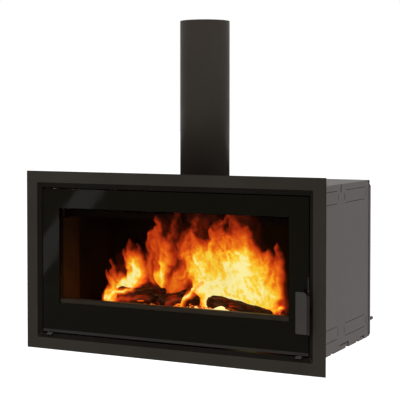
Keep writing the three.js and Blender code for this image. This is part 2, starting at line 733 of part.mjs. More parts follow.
const lowerLug = handleBottom - GAP - LUG_T;
const upperLug = handleTop + GAP;
function doorFrame() {
  const body = windowRing(rect(frameHalf, frameBottom, frameTop), rect(windowHalf, windowBottom, windowTop),
    frameY, frameBack);
  const pinHole = PIN_R + PIN_CLEAR;
  return cut(body, [
    postZ(hingeX, hingeY, pinHole, frameTop - PIN_DEPTH, frameTop + 1),
    postZ(hingeX, hingeY, pinHole, frameBottom - 1, frameBottom + PIN_DEPTH),
    box(frameHalf - NOTCH_FRAME, frameHalf + 1, frameY - 1, frameBack + 1, notchZ0, notchZ1),
  ]);
}
add("door_frame", doorFrame(), FINISH.steel);

// Flat clips, screwed to the frame's top, hold the upper edge of the glass.
function glassClip(x) {
  const top = frameTop + GAP;
  return box(x - CLIP_HALF, x + CLIP_HALF, gasketY, frameY + RAIL_LEG, top, doorTop);
}
add("glass_clip_left", glassClip(-CLIP_X), FINISH.steel);
add("glass_clip_right", glassClip(CLIP_X), FINISH.steel);

const ropeFar = ROPE_INSET + ROPE_W;
add("door_rope_seal", windowRing(
  rect(windowHalf + ropeFar, windowBottom - ropeFar, windowTop + ropeFar),
  rect(windowHalf + ROPE_INSET, windowBottom - ROPE_INSET, windowTop + ROPE_INSET),
  frameBack + GAP, faceY - GAP), FINISH.rope);

// ---------------------------------------------------------------- hinges
const upperEye = doorTop + GAP;
const lowerEye = doorBottom - GAP - BRACKET_T;
function hingeBracket(z0) {
  const x0 = hingeX - BRACKET_EYE;
  const x1 = hingeX + BRACKET_EYE;
  const arm = box(x0, x1, hingeY, faceY - GAP, z0, z0 + BRACKET_T);
  const eye = postZ(hingeX, hingeY, BRACKET_EYE, z0, z0 + BRACKET_T, 24);
  const up = z0 > windowTop ? -1 : 1;
  const footY = faceY - GAP - BRACKET_FOOT_T;
  const foot = up < 0
    ? box(x0, x1, footY, faceY - GAP, z0 - 16, z0 + BRACKET_T)
    : box(x0, x1, footY, faceY - GAP, z0, z0 + 22);
  const bore = postZ(hingeX, hingeY, PIN_R + PIN_CLEAR, z0 - 1, z0 + BRACKET_T + 1);
  return cut(join([arm, eye, foot]), [bore]);
}
add("hinge_bracket_lower", hingeBracket(lowerEye), FINISH.steel);
add("hinge_bracket_upper", hingeBracket(upperEye), FINISH.steel);

add("hinge_pin_lower", postZ(hingeX, hingeY, PIN_R, lowerEye + 0.5, frameBottom + PIN_DEPTH - GAP),
  FINISH.polished);
add("hinge_pin_upper", postZ(hingeX, hingeY, PIN_R, frameTop - PIN_DEPTH + GAP, upperEye + BRACKET_T - 0.5),
  FINISH.polished);

// ---------------------------------------------------------------- handle and latch
// Lugs on the door's right edge carry the handle's rod round the edge of the glass.
function handleLug(z0) {
  const neckX = rodX - LUG_EYE + 0.1;
  const z1 = z0 + LUG_T;
  const neck = box(neckX - 0.2, neckX - 0.2 + LUG_NECK, rodY, frameY + 12, z0, z1);
  const foot = box(frameHalf + GAP, neckX + 1, frameY + 1, frameY + 12, z0 - 4, z1 + 4);
  const eye = postZ(rodX, rodY, LUG_EYE, z0, z1, 20);
  const bore = postZ(rodX, rodY, HANDLE_ROD_R + PIN_CLEAR, z0 - 1, z1 + 1);
  return cut(join([neck, foot, eye]), [bore]);
}
add("handle_lug_lower", handleLug(lowerLug), FINISH.steel);
add("handle_lug_upper", handleLug(upperLug), FINISH.steel);

// The handle is an angle: a wide front plate with one cut corner, and a side plate that
// runs back to the rod.
function handlePlate() {
  const x1 = rodX + HANDLE_ROD_R;
  const x0 = x1 - HANDLE_W;
  const z0 = handleBottom;
  const z1 = z0 + HANDLE_H;
  const face = outline([
    [x0 + 2, z0], [x1, z0], [x1, z1 - HANDLE_CORNER], [x1 - HANDLE_CORNER / 2, z1 - 2],
    [x1 - HANDLE_CORNER, z1], [x0 + 2, z1], [x0, z1 - 2], [x0, z0 + 2],
  ]);
  const front = deepen(face, handleY, handleY + HANDLE_T);
  const side = widen(outline([
    [handleY + 1, z0], [rodY, z0], [rodY, z1 - HANDLE_CORNER - 4],
    [handleY + 1, z1 - HANDLE_CORNER],
  ]), x1 - HANDLE_SIDE_T, x1);
  const knuckle = postZ(rodX, rodY, HANDLE_ROD_R + 1.2, z0, z1 - HANDLE_CORNER - 4, 20);
  const bore = postZ(rodX, rodY, HANDLE_ROD_R + GAP, z0 - 1, z1 + 1);
  return cut(join([front, side, knuckle]), [bore]);
}
add("door_handle", handlePlate(), FINISH.steel);
add("handle_rod", postZ(rodX, rodY, HANDLE_ROD_R,
  lowerLug - 2, handleTop + ROD_ABOVE), FINISH.polished);

function latchTongue() {
  const x1 = rodX - HANDLE_ROD_R + 0.1;
  const x0 = x1 - TONGUE_T;
  return box(x0, x1, rodY + HANDLE_ROD_R + 1.5, tongueEnd, tongueZ, tongueZ + TONGUE_H);
}
add("latch_tongue", latchTongue(), FINISH.steel);

// The spring roller of the catch stands beside the tongue's end, behind the bevel.
function latchCatch() {
  const rollerX = rodX - HANDLE_ROD_R + 0.1 + GAP + CATCH_R;
  const y = tongueEnd - CATCH_R - 1;
  const roller = postZ(rollerX, y, CATCH_R, tongueZ, tongueZ + TONGUE_H, 20);
  const arm = box(rollerX - 2, rollerX + 2, y, faceY - GAP, tongueZ - 3, tongueZ + TONGUE_H + 3);
  const foot = box(rollerX - 4, rollerX + 6, faceY - GAP - 3, faceY - GAP, tongueZ - 12,
    tongueZ + TONGUE_H + 12);
  return join([roller, arm, foot]);
}
add("latch_catch", latchCatch(), FINISH.steel);

// ---------------------------------------------------------------- air controls
// Each lever is one bent sheet: a shutter under the floor's air holes, an arm forward under
// the door, and a lip that slopes down in front of the bevel.
const shutterTop = BOX_FLOOR - GAP;
const tabTop = doorBottom - (DOOR_BOTTOM_GAP - AIR_TAB_T) / 2;
function airSlide(side) {
  const middle = side * (tabX - AIR_SHUTTER_W / 2);
  const y1 = AIR_SHUTTER_Y0 + AIR_SHUTTER_D;
  const shutter = box(middle - AIR_SHUTTER_W / 2, middle + AIR_SHUTTER_W / 2, AIR_SHUTTER_Y0, y1,
    shutterTop - AIR_TAB_T, shutterTop);
  const x0 = side * tabX - AIR_TAB_W / 2;
  const x1 = x0 + AIR_TAB_W;
  const riser = box(x0, x1, AIR_SHUTTER_Y0, AIR_SHUTTER_Y0 + AIR_TAB_T, tabTop - AIR_TAB_T, shutterTop);
  const web = box(x0, x1, AIR_SHUTTER_Y0, y1, shutterTop - AIR_TAB_T, shutterTop);
  const arm = widen(outline([
    [AIR_SHUTTER_Y0 + AIR_TAB_T, tabTop], [AIR_SHUTTER_Y0 + AIR_TAB_T, tabTop - AIR_TAB_T],
    [GLASS_Y - 1, tabTop - AIR_TAB_T], [-1, tabTop - AIR_TAB_NOSE], [-3, tabTop - AIR_TAB_NOSE + 1],
    [GLASS_Y - 2, tabTop],
  ]), x0, x1);
  return cut(join([shutter, web, riser, arm]), airHoles(side, 0, shutterTop - 4, shutterTop + 1));
}
add("primary_air_slide", airSlide(-1), FINISH.polished);
add("secondary_air_slide", airSlide(1), FINISH.polished);

// Channels under the floor that the two shutters run in.
function airGuide(side) {
  const reach = AIR_SHUTTER_W + 2 * AIR_TRAVEL + 6;
  const middle = side * (tabX - AIR_SHUTTER_W / 2 - AIR_TRAVEL / 2 - 8);
  const z1 = BOX_FLOOR - GAP;
  const z0 = shutterTop - AIR_TAB_T - GAP - AIR_BOX_T;
  const y1 = AIR_SHUTTER_Y0 + AIR_SHUTTER_D + GAP;
  const lip = box(middle - reach / 2, middle + reach / 2, y1 - 8, y1 + AIR_BOX_T, z0, z0 + AIR_BOX_T);
  const wall = box(middle - reach / 2, middle + reach / 2, y1, y1 + AIR_BOX_T, z0, z1);
  return join([lip, wall]);
}
add("primary_air_guide", airGuide(-1), FINISH.steel);
add("secondary_air_guide", airGuide(1), FINISH.steel);

// ---------------------------------------------------------------- blower
// Cross-flow blower in the space behind the firebox, just above the casing's base.
const housingHalf = BLOWER_LEN / 2 + BLOWER_CLEAR + BLOWER_WALL;
function blowerHousing() {
  const inner = BLOWER_R + BLOWER_CLEAR;
  const outer = inner + BLOWER_WALL;
  const half = housingHalf;
  const turns = 14;
  const arc = (r, from, to) => Array.from({ length: turns + 1 }, (_, i) => {
    const t = from + ((to - from) * i) / turns;
    return [blowerY + r * Math.cos(t), BLOWER_Z + r * Math.sin(t)];
  });
  const shellPoints = [...arc(outer, -Math.PI, Math.PI / 3), ...arc(inner, Math.PI / 3, -Math.PI)];
  const shell = widen(outline(shellPoints), -half, half);
  const cheek = (x0) => cut(
    widen(outline(arc(outer, -Math.PI, Math.PI / 3)), x0, x0 + BLOWER_WALL),
    [postX(blowerY, BLOWER_Z, SHAFT_R + 1, x0 - 1, x0 + BLOWER_WALL + 1)]);
  const footZ = CASING_SHEET + GAP;
  const feet = [-1, 1].map((side) => box(side * half * 0.7 - 12, side * half * 0.7 + 12,
    blowerY - 14, blowerY + 14, footZ, BLOWER_Z - inner - 0.2));
  return join([shell, cheek(-half), cheek(half - BLOWER_WALL), ...feet]);
}
add("blower_housing", blowerHousing(), FINISH.steel);

function blowerRotor() {
  const half = BLOWER_LEN / 2;
  const discs = [-half, 0, half].map((x) => postX(blowerY, BLOWER_Z, BLOWER_R, x - 1.5, x + 1.5, 24));
  const blades = Array.from({ length: BLOWER_BLADES }, (_, i) => {
    const t = (2 * Math.PI * i) / BLOWER_BLADES;
    const blade = new THREE.BoxGeometry(2 * half, 8, 1.2);
    blade.rotateX(0.6).translate(0, BLOWER_R - 5, 0).rotateX(t);
    return blade.translate(0, blowerY, BLOWER_Z);
  });
  const shaft = postX(blowerY, BLOWER_Z, SHAFT_R, -half - 12, half + BLOWER_CLEAR + BLOWER_WALL + 20);
  return join([shaft, ...discs, ...blades]);
}
add("blower_rotor", blowerRotor(), FINISH.motor);

function blowerMotor() {
  const x0 = housingHalf + GAP;
  const can = postX(blowerY, BLOWER_Z, MOTOR_R, x0, x0 + MOTOR_LEN, 24);
  const foot = box(x0 + 8, x0 + MOTOR_LEN - 8, blowerY - 12, blowerY + 12,
    CASING_SHEET + GAP, BLOWER_Z - MOTOR_R + 4);
  const bore = postX(blowerY, BLOWER_Z, SHAFT_R + 1, x0 - 1, x0 + 30);
  return cut(join([can, foot]), [bore]);
}
add("blower_motor", blowerMotor(), FINISH.motor);

function cableGland() {
  const shank = postY(glandX, GLAND_Z, GLAND_SHANK, casingRearInner - 6, CASING_BACK + 4);
  const nut = postY(glandX, GLAND_Z, GLAND_R, CASING_BACK + GAP, CASING_BACK + GLAND_LEN * 0.4, 6);
  const cap = postY(glandX, GLAND_Z, GLAND_R * 0.85, CASING_BACK + 3, CASING_BACK + GLAND_LEN, 20);
  const inner = postY(glandX, GLAND_Z, GLAND_SHANK, casingRearInner - 10, casingRearInner - GAP);
  const bore = postY(glandX, GLAND_Z, GLAND_R * 0.35, casingRearInner - 12, CASING_BACK + GLAND_LEN + 1);
  return cut(join([shank, nut, cap, inner]), [bore]);
}
add("cable_gland", cableGland(), FINISH.motor);

// ---------------------------------------------------------------- trim brackets
// Angles inside the casing's front edges that the trim is screwed to.
function trimBracket() {
  const x1 = lidHalf;
  const x0 = x1 - BRACKET_SHEET;
  const bend = TRIM_SHEET + GAP + BRACKET_SHEET - GAP;
  const z0 = BRACKET_INSET;
  const z1 = casingTop - BRACKET_INSET;
  return join([
    box(x0, x1, bend, TRIM_SHEET + BRACKET_LEG, z0, z1),
    box(x0, x1 + 2, bend, casingFront - GAP, z0, z1),
    box(x1 + GAP, x1 + BRACKET_TAB, TRIM_SHEET + GAP, bend + BRACKET_SHEET / 2, z0, z1),
  ]);
}
add("trim_bracket_right", trimBracket(), FINISH.steel);
add("trim_bracket_left", mirrorX(trimBracket()), FINISH.steel);

// ---------------------------------------------------------------- logs
// Each log tapers, and lies on the hearth bricks on one flat of its many-sided section.
function log({ from, to, radii }) {
  const dx = to[0] - from[0];
  const dy = to[1] - from[1];
  const half = Math.PI / LOG_SIDES;
  const g = widen(outline(circle(0, 0, 1, LOG_SIDES)), 0, 1);
  const points = g.attributes.position;
  for (let i = 0; i < points.count; i += 1) {
    const t = points.getX(i);
    const r = radii[0] + t * (radii[1] - radii[0]);
    points.setXYZ(i, t * Math.hypot(dx, dy), r * points.getY(i), r * (points.getZ(i) + Math.cos(half)));
  }
  g.rotateZ(Math.atan2(dy, dx));
  return g.translate(from[0], from[1], hearthTop + GAP);
}
for (const [name, place] of Object.entries(LOGS)) {
  add(name, log(place), FINISH.bark);
}

export default insert;
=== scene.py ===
# Looks of the built-in wood fireplace: materials, rounded edges, logs, embers and flames
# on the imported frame. Metres; X to the right seen from the room, Y into the wall, Z up.
import json
import math

import bmesh
import bpy
from mathutils import Euler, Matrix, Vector, noise

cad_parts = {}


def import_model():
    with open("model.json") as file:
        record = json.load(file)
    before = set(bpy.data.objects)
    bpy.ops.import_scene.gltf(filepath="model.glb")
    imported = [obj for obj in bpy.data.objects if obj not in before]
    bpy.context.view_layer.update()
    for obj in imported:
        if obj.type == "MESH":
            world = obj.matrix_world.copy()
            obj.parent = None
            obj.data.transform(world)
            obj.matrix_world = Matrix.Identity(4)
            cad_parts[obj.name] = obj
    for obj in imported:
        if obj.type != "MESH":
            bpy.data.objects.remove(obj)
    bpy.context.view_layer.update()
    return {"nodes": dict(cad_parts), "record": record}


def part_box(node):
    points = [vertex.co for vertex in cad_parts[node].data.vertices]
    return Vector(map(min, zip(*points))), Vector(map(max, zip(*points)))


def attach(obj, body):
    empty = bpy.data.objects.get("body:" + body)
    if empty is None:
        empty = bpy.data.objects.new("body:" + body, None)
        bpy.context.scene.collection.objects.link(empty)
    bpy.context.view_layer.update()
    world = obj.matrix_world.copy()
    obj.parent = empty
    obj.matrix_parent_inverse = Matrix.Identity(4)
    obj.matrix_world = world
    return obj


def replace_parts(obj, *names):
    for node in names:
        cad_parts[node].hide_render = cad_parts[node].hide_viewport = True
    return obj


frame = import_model()

# ------------------------------------------------------------------ view
CAMERA_AT = Vector((1.6896, -3.3697, 0.6936))
CAMERA_YAW = math.radians(26.812)
CAMERA_PITCH = math.radians(-1.751)
CAMERA_TURN = Euler((math.pi / 2 + CAMERA_PITCH, 0, CAMERA_YAW))
LENS = 108.484                   # millimetres, like the sensor's width
SENSOR = 36.0
SHIFT_Y = -0.12                  # share of the picture's side
IMAGE = 400                      # pixels on each side of the photograph

# ------------------------------------------------------------------ light
WHITE = (1.0, 1.0, 1.0, 1.0)
FLOOR_Z = -0.3                   # clear of the insert, which stands in a wall
FLOOR_SIZE = 60.0
FLOOR_GREY = (0.82, 0.82, 0.82, 1.0)
FLOOR_GLOW = 0.6                 # added to the floor only where it is looked at
WORLD_SOFT = 0.62                # light that the surroundings give to the object
BOX_SIZE = (2.4, 2.4)            # both large soft boxes; all powers are in watts
KEY_AT = (-1.6, -3.2, 3.2)
KEY_AIM = (0.0, 0.0, 0.3)
KEY_POWER = 46.0
SIDE_AT = (3.4, -0.4, 2.4)
SIDE_AIM = (0.3, 0.0, 0.3)
SIDE_POWER = 44.0
STRIP_AT = Vector((-2.17, -3.0, 0.055))    # narrow soft box that the glass border mirrors
STRIP_SIZE = (0.145, 1.2)
STRIP_ROLL = math.radians(-39.7)
STRIP_POWER = 2.4
FIRE_COLOUR = (1.0, 0.42, 0.12)
FIRE_BALL = 0.05                 # radius of each warm light
FIRE_SPOTS = [                   # place and power of each warm light in the fire
    ((-0.16, -0.09, 0.2), 0.112),
    ((0.1, -0.09, 0.22), 0.16),
]

# ------------------------------------------------------------------ shapes
WELD = 1e-6
FLAT = math.radians(1)
SHARP = math.radians(25)
BEVEL_STEPS = 2
BEVEL_PROFILE = 0.6
FLUE_SIDES = 128
FLUE_WALL = 0.002
FLUE_SOFT = 0.0006               # softening of the pipe's top edge
FLUE_SHARP = math.radians(30)
CLEAR_HALF = 0.3854              # clear window inside the glass's printed border
CLEAR_LOW = 0.110
CLEAR_HIGH = 0.406
WINDOW_FADE = 0.0008             # soft edge of the printed border

LOG_RINGS = 70
LOG_SIDES = 48
LOG_END = 0.9                    # share of the half length where an end begins to narrow
LOG_TAPER = 1.75
LOG_HOLLOW = 0.002               # depth of the dish in each end
END_RIDGE = 0.3                  # ridge value in the middle of each end
FURROWS = (3.2, 2.5, 1.6)        # noise round the log, along it, and scale of both
KNOTS = (1.1, 4.0, 1.2)
BARK_MEAN = 0.84                 # mean reach of the bark, as a share of the radius
FURROW_SHARE = 0.13
KNOT_SHARE = 0.09
RIDGE_GAIN = 0.75
LOGS = {                         # middle of each end, radius there, seed of the bark
    "log_left": (((-0.262, -0.0905), (-0.124, -0.0165)), (0.0361, 0.038), 1.0),
    "log_middle": (((-0.100, -0.1125), (-0.024, 0.0015)), (0.0285, 0.0371), 4.0),
    "log_right": (((0.038, -0.0205), (0.300, -0.1545)), (0.0314, 0.0228), 7.0),
}

EMBER_X = (-0.29, 0.31)
EMBER_Y = (-0.15, 0.05)
EMBER_CELL = 0.006
EMBER_FOOT = 0.0006              # height of the bed's rim above the bricks
EMBER_RISE = 0.006
EMBER_ROUGH = 0.014
EMBER_GRAIN = 38.0
EMBER_SEED = 2.0
EMBER_CROWN = 1.4                # the higher, the flatter the middle of the heap
HOT_SPOT = (0.105, -0.085, 0.105)
MOUND_RADIUS = 0.055
MOUND_RISE = 0.022
LUMPS = 90
LUMP_LEAST = 0.005
LUMP_SPREAD = 0.008
LUMP_SHAPE = Vector((1.35, 1.0, 0.75))
LUMP_REST = 0.008                # height of the bed under a lump
LUMP_LIFT = 0.6                  # height of a lump's middle above that, per size
BED_EDGE = 0.9                   # lumps lie within this share of the bed's area
LUMP_GRAIN = 90.0
LUMP_BLUNT = 0.4
SCATTER_FROM = Vector((0.0, 3.1, 0.4))
SCATTER_STEP = 1.7

FLAME_CELL = 0.0025
FLAME_BULGE = 0.028
FLAME_RIGHT = 0.38               # just inside the firebox's right front post
FLAME_TOP = 0.408                # just above the clear window, below the door's top rail
FAINTEST = 0.02                  # the least heat that still gets a face
BACK_DEPTH = 0.03
BACK_LEAN = 0.24                 # towards the gap in front of the baffle
FRONT_DEPTH = -0.13
SPECK_FACES = 60
MARGIN_SIDE = 16                 # pixels of room round the tongues
MARGIN_BELOW = 8
MARGIN_ABOVE = 12


# ------------------------------------------------------------------ camera
def place_camera():
    data = bpy.data.cameras.new("camera")
    data.lens = LENS
    data.sensor_width = SENSOR
    data.shift_y = SHIFT_Y
    camera = bpy.data.objects.new("camera", data)
    camera.location = CAMERA_AT
    camera.rotation_euler = CAMERA_TURN
    bpy.context.collection.objects.link(camera)
    bpy.context.scene.camera = camera


def seen_at(px, py, depth):
    """The point on the upright plane y = depth that the camera sees at a pixel."""
    across = (px / IMAGE - 0.5) * SENSOR / LENS
    up = (0.5 - py / IMAGE + SHIFT_Y) * SENSOR / LENS
    ray = CAMERA_TURN.to_matrix() @ Vector((across, up, -1.0))
    return CAMERA_AT + ray * ((depth - CAMERA_AT.y) / ray.y)


def pixel_of(point):
    """Where the camera sees a point, in pixels of the photograph."""
    ray = CAMERA_TURN.to_matrix().transposed() @ (point - CAMERA_AT)
    across = ray.x / -ray.z * LENS / SENSOR
    up = ray.y / -ray.z * LENS / SENSOR
    return (across + 0.5) * IMAGE, (0.5 + SHIFT_Y - up) * IMAGE


# ------------------------------------------------------------------ colours
def linear(level):
    """Linear value of a screen value given in 0 to 255."""
    share = level / 255
    return share / 12.92 if share <= 0.04045 else ((share + 0.055) / 1.055) ** 2.4


def srgb(red, green, blue):
    return (linear(red), linear(green), linear(blue), 1.0)


def shade(colour, factor):
    return tuple(c * factor for c in colour[:3]) + (1.0,)


# Colour of soot, also used as painted shade on the firebox boards.
SOOT_AND_SHADE = srgb(12, 6, 3)


# ------------------------------------------------------------------ node helpers
COLOUR_A = 6                     # the Mix node's sockets for colours
COLOUR_B = 7
COLOUR_OUT = 2


class Nodes:
    """The node tree of a material or a world, with short calls for the nodes used here."""

    def __init__(self, owner, output="ShaderNodeOutputMaterial"):
        self.owner = owner
        owner.use_nodes = True
        self.tree = owner.node_tree
        self.tree.nodes.clear()
        self.out = self.new(output)
        self.where = self.new("ShaderNodeTexCoord").outputs["Object"]

    def new(self, kind):
        return self.tree.nodes.new(kind)

    def put(self, value, socket):
        if isinstance(value, bpy.types.NodeSocket):
            self.tree.links.new(value, socket)
        else:
            socket.default_value = value

    def add(self, kind, **inputs):
        node = self.new(kind)
        for key, value in inputs.items():
            self.put(value, node.inputs[key.replace("_", " ")])
        return node

    def stretch(self, scale):
        node = self.add("ShaderNodeMapping", Vector=self.where, Scale=scale)
        return node.outputs["Vector"]

    def noise(self, scale, detail=3.0, roughness=0.55, vector=None):
        node = self.add("ShaderNodeTexNoise", Vector=vector or self.where, Scale=scale,
                        Detail=detail, Roughness=roughness)
        return node.outputs["Fac"]

    def cells(self, scale, vector=None):
        node = self.add("ShaderNodeTexVoronoi", Vector=vector or self.where, Scale=scale)
        return node.outputs["Distance"]

    def math(self, operation, a, b, clamp=False):
        node = self.new("ShaderNodeMath")
        node.operation = operation
        node.use_clamp = clamp
        self.put(a, node.inputs[0])
        self.put(b, node.inputs[1])
        return node.outputs[0]

    def times(self, a, b):
        return self.math("MULTIPLY", a, b)

    def measure(self, operation, a, b):
        """One number from two vectors."""
        node = self.new("ShaderNodeVectorMath")
        node.operation = operation
        self.put(a, node.inputs[0])
        self.put(b, node.inputs[1])
        return node.outputs["Value"]

    def span(self, value, low, high, out_low=0.0, out_high=1.0):
        """A smooth step: out_low where the value is low, out_high where it is high."""
        node = self.new("ShaderNodeMapRange")
        node.interpolation_type = "SMOOTHSTEP"
        for socket, v in zip(node.inputs[:5], (value, low, high, out_low, out_high)):
            self.put(v, socket)
        return node.outputs[0]

    def blend(self, factor, a, b):
        node = self.new("ShaderNodeMix")
        node.data_type = "RGBA"
        self.put(factor, node.inputs[0])
        self.put(a, node.inputs[COLOUR_A])
        self.put(b, node.inputs[COLOUR_B])
        return node.outputs[COLOUR_OUT]

    def ramp(self, factor, stops):
        node = self.new("ShaderNodeValToRGB")
        self.put(factor, node.inputs[0])
        elements = node.color_ramp.elements
        for element, (at, colour) in zip(elements, (stops[0], stops[-1])):
            element.position = at
            element.color = colour
        for at, colour in stops[1:-1]:
            elements.new(at).color = colour
        return node.outputs["Color"]

    def bump(self, height, distance, strength=1.0, under=None):
        node = self.add("ShaderNodeBump", Height=height, Distance=distance, Strength=strength)
        if under:
            self.put(under, node.inputs["Normal"])
        return node.outputs["Normal"]

    def axis(self, name):
        return self.add("ShaderNodeSeparateXYZ", Vector=self.where).outputs[name]

    def stored(self, name):
        """A number stored on the mesh's vertices."""
        node = self.new("ShaderNodeAttribute")
        node.attribute_name = name
        return node.outputs["Fac"]

    def surface(self, colour, roughness, specular, normal, **inputs):
        node = self.add("ShaderNodeBsdfPrincipled", Base_Color=colour, Roughness=roughness,
                        Normal=normal, Specular_IOR_Level=specular, **inputs)
        return node.outputs[0]

    def mix(self, factor, a, b):
        node = self.new("ShaderNodeMixShader")
        for socket, value in zip(node.inputs, (factor, a, b)):
            self.put(value, socket)
        return node.outputs[0]

    def sum(self, a, b):
        node = self.new("ShaderNodeAddShader")
        self.put(a, node.inputs[0])
        self.put(b, node.inputs[1])
        return node.outputs[0]

    def looked_at(self):
        """1 for rays that show a picture of things, 0 for rays that only light them."""
        path = self.new("ShaderNodeLightPath").outputs
        direct = self.math("MAXIMUM", path["Is Camera Ray"], path["Is Glossy Ray"])
        return self.math("MAXIMUM", direct, path["Is Transmission Ray"])

    def finish(self, shader):
        self.put(shader, self.out.inputs["Surface"])
        return self.owner


def material(name):
    return Nodes(bpy.data.materials.new(name))


# ------------------------------------------------------------------ materials
# Surface detail: fineness in cells per metre, depths and heights in metres.
MOST_NOISE = (0.3, 0.7)          # the range that most values of a noise texture lie in
DRIFT_PATCHES = 5.0
SHEEN_PATCHES = 18.0
PEEL = 1500.0                    # orange peel of baked paint
PEEL_DEPTH = 0.00004
DUST = 420.0
SHEET_WAVES = 11.0
WEAR_PATCHES = 45.0
WEAR_RADIUS = 0.0012
WEAR_SAMPLES = 4
SCRATCHES = (6.0, 900.0, 900.0)  # long in x, fine across
SCRATCH_DEPTH = 0.00005
STAINS = 14.0
FLAKES = 330.0
FLAKE_SHAPE = (1.0, 1.0, 2.2)
FLAKE_DEPTH = 0.0006
PITS = 90.0
PIT_DEPTH = 0.0012
SOOT_CLOUDS = 7.0
SOOT_HEIGHTS = (0.08, 0.36)      # boards are clean at the first and sooty at the second
SILL_SOOT = (0.114, 0.13)
CASTING = 260.0
CASTING_DEPTH = 0.0005
ASH_DRIFTS = 22.0
STRANDS = 160.0
BRAID_DEPTH = 0.0012
ENAMEL_CLOUDS = 30.0
ENAMEL_SMEARS = 16.0
PANE_SOOT = 9.0
BARK_GRAIN = 120.0
BARK_DEPTH = 0.0014
BARK_CRACKS = 24.0
CRACK_HEIGHTS = (0.122, 0.082)   # cracks are dim at the first and glow at the second
COALS = 120.0
COAL_DEPTH = 0.003
COAL_ASH = 60.0
HOT_PATCHES = 22.0
HOT_REACH = (0.06, 0.02)         # distances from the hot spot, from orange to white
WISPS = (60.0, 60.0, 40.0)
MOULD_GRAIN = 1800.0
MOULD_DEPTH = 0.00005
MOULD_CLOUDS = 40.0
MOULD_SHEEN = 60.0


def worn_edge(n, colour, lighter):
    """Paint rubbed a little lighter along sharp edges."""
    soft = n.add("ShaderNodeBevel", Radius=WEAR_RADIUS)
    soft.samples = WEAR_SAMPLES
    flat = n.new("ShaderNodeNewGeometry").outputs["Normal"]
    edge = n.span(n.measure("DOT_PRODUCT", soft.outputs["Normal"], flat), 0.995, 0.9)
    patches = n.span(n.noise(WEAR_PATCHES), 0.35, 0.7)
    return n.blend(n.times(edge, patches), colour, lighter)


def paint(name, colour, roughness, specular, drift=0.1, wear=0.0, ripple=0.0003, patchy=0.055,
          sooty=None):
    """Baked paint on sheet metal: fine orange peel and slow changes of tone.

    drift and patchy say how far its tone and roughness wander, wear how much lighter its
    edges are, ripple how deep its waves are, and sooty between which two heights it turns
    black with soot.
    """
    n = material(name)
    slow = n.span(n.noise(DRIFT_PATCHES, 4.0), *MOST_NOISE)
    tone = n.blend(slow, shade(colour, 1 - drift), shade(colour, 1 + drift))
    dust = n.span(n.noise(DUST, 2.0), 0.62, 0.75)
    tone = n.blend(n.times(dust, 0.25), tone, shade(colour, 1.5))
    if wear:
        tone = worn_edge(n, tone, shade(colour, 1 + wear))
    if sooty:
        tone = n.blend(n.span(n.axis("Z"), *sooty), tone, SOOT_AND_SHADE)
    sheen = n.span(n.noise(SHEEN_PATCHES, 5.0), *MOST_NOISE, roughness - patchy, roughness + patchy)
    peel = n.bump(n.noise(PEEL, 2.0), PEEL_DEPTH, 0.5)
    waves = n.bump(n.noise(SHEET_WAVES, 2.0), ripple, 0.25, peel)
    return n.finish(n.surface(tone, sheen, specular, waves))


def steel(name, colour, roughness, stain=0.35):
    """Rolled or brushed steel: long fine scratches and cloudy stains."""
    n = material(name)
    lines = n.noise(1.0, 3.0, vector=n.stretch(SCRATCHES))
    cloud = n.span(n.noise(STAINS, 6.0), 0.35, 0.7)
    tone = n.blend(cloud, colour, shade(colour, 1 - stain))
    tone = n.blend(n.times(lines, 0.5), tone, shade(colour, 1.35))
    sheen = n.span(lines, *MOST_NOISE, roughness - 0.08, roughness + 0.1)
    relief = n.bump(lines, SCRATCH_DEPTH, 0.5)
    return n.finish(n.surface(tone, sheen, 0.3, relief, Metallic=0.9))


def vermiculite(name, clean_unshaded):
    """Pressed vermiculite: golden flakes in a tan board, sootier towards the top.

    clean is the share of the board's own colour that shows through the soot and the painted shade
    of the dark inside of the firebox.
    """
    n = material(name)
    flakes = n.cells(FLAKES, n.stretch(FLAKE_SHAPE))
    tone = n.ramp(flakes, [
        (0.0, srgb(206, 150, 84)),
        (0.35, srgb(160, 108, 56)),
        (0.8, srgb(112, 72, 38)),
    ])
    climb = n.span(n.axis("Z"), *SOOT_HEIGHTS)
    clouds = n.span(n.noise(SOOT_CLOUDS, 6.0), 0.35, 0.75, -0.25, 0.35)
    soot = n.math("MINIMUM", n.math("ADD", climb, clouds), 0.85, clamp=True)
    # Soot, then painted shade: all but the clean share of the board's colour turns to the soot
    # colour, as the firebox is dark inside.
    tone = n.blend(n.times(soot, 1 - clean_unshaded), tone, SOOT_AND_SHADE)
    tone = n.blend(clean_unshaded, SOOT_AND_SHADE, tone)
    relief = n.bump(flakes, FLAKE_DEPTH, 0.7)
    pits = n.bump(n.noise(PITS, 6.0), PIT_DEPTH, 0.4, relief)
    return n.finish(n.surface(tone, 0.95, 0.1, pits))


def cast_iron():
    """Sand-cast iron: coarse skin, grey ash settled in its hollows."""
    n = material("cast_iron")
    skin = n.noise(CASTING, 5.0, 0.65)
    ash = n.span(n.noise(ASH_DRIFTS, 6.0), 0.5, 0.75)
    tone = n.blend(n.times(ash, 0.5), srgb(38, 35, 32), srgb(110, 104, 97))
    sheen = n.span(skin, *MOST_NOISE, 0.6, 0.85)
    relief = n.bump(skin, CASTING_DEPTH, 0.8)
    return n.finish(n.surface(tone, sheen, 0.3, relief, Metallic=0.35))


def strands(n, slant):
    """The strands of a braid that slant one way."""
    wave = n.add("ShaderNodeTexWave", Vector=n.stretch((1.0, 1.0, slant)), Scale=STRANDS,
                 Distortion=1.2, Detail=2.0)
    wave.bands_direction = "DIAGONAL"
    return wave.outputs["Fac"]


def seal_rope():
    """Braided glass-fibre rope: crossed strands that run round the seal."""
    n = material("seal_rope")
    braid = n.times(strands(n, 1.0), strands(n, -1.0))
    tone = n.blend(braid, srgb(46, 43, 40), srgb(104, 99, 91))
    return n.finish(n.surface(tone, 0.95, 0.1, n.bump(braid, BRAID_DEPTH)))


def between(n, value, low, high):
    """1 between low and high, with a soft edge."""
    up = n.span(value, low - WINDOW_FADE, low + WINDOW_FADE)
    down = n.span(value, high - WINDOW_FADE, high + WINDOW_FADE, 1.0, 0.0)
    return n.times(up, down)


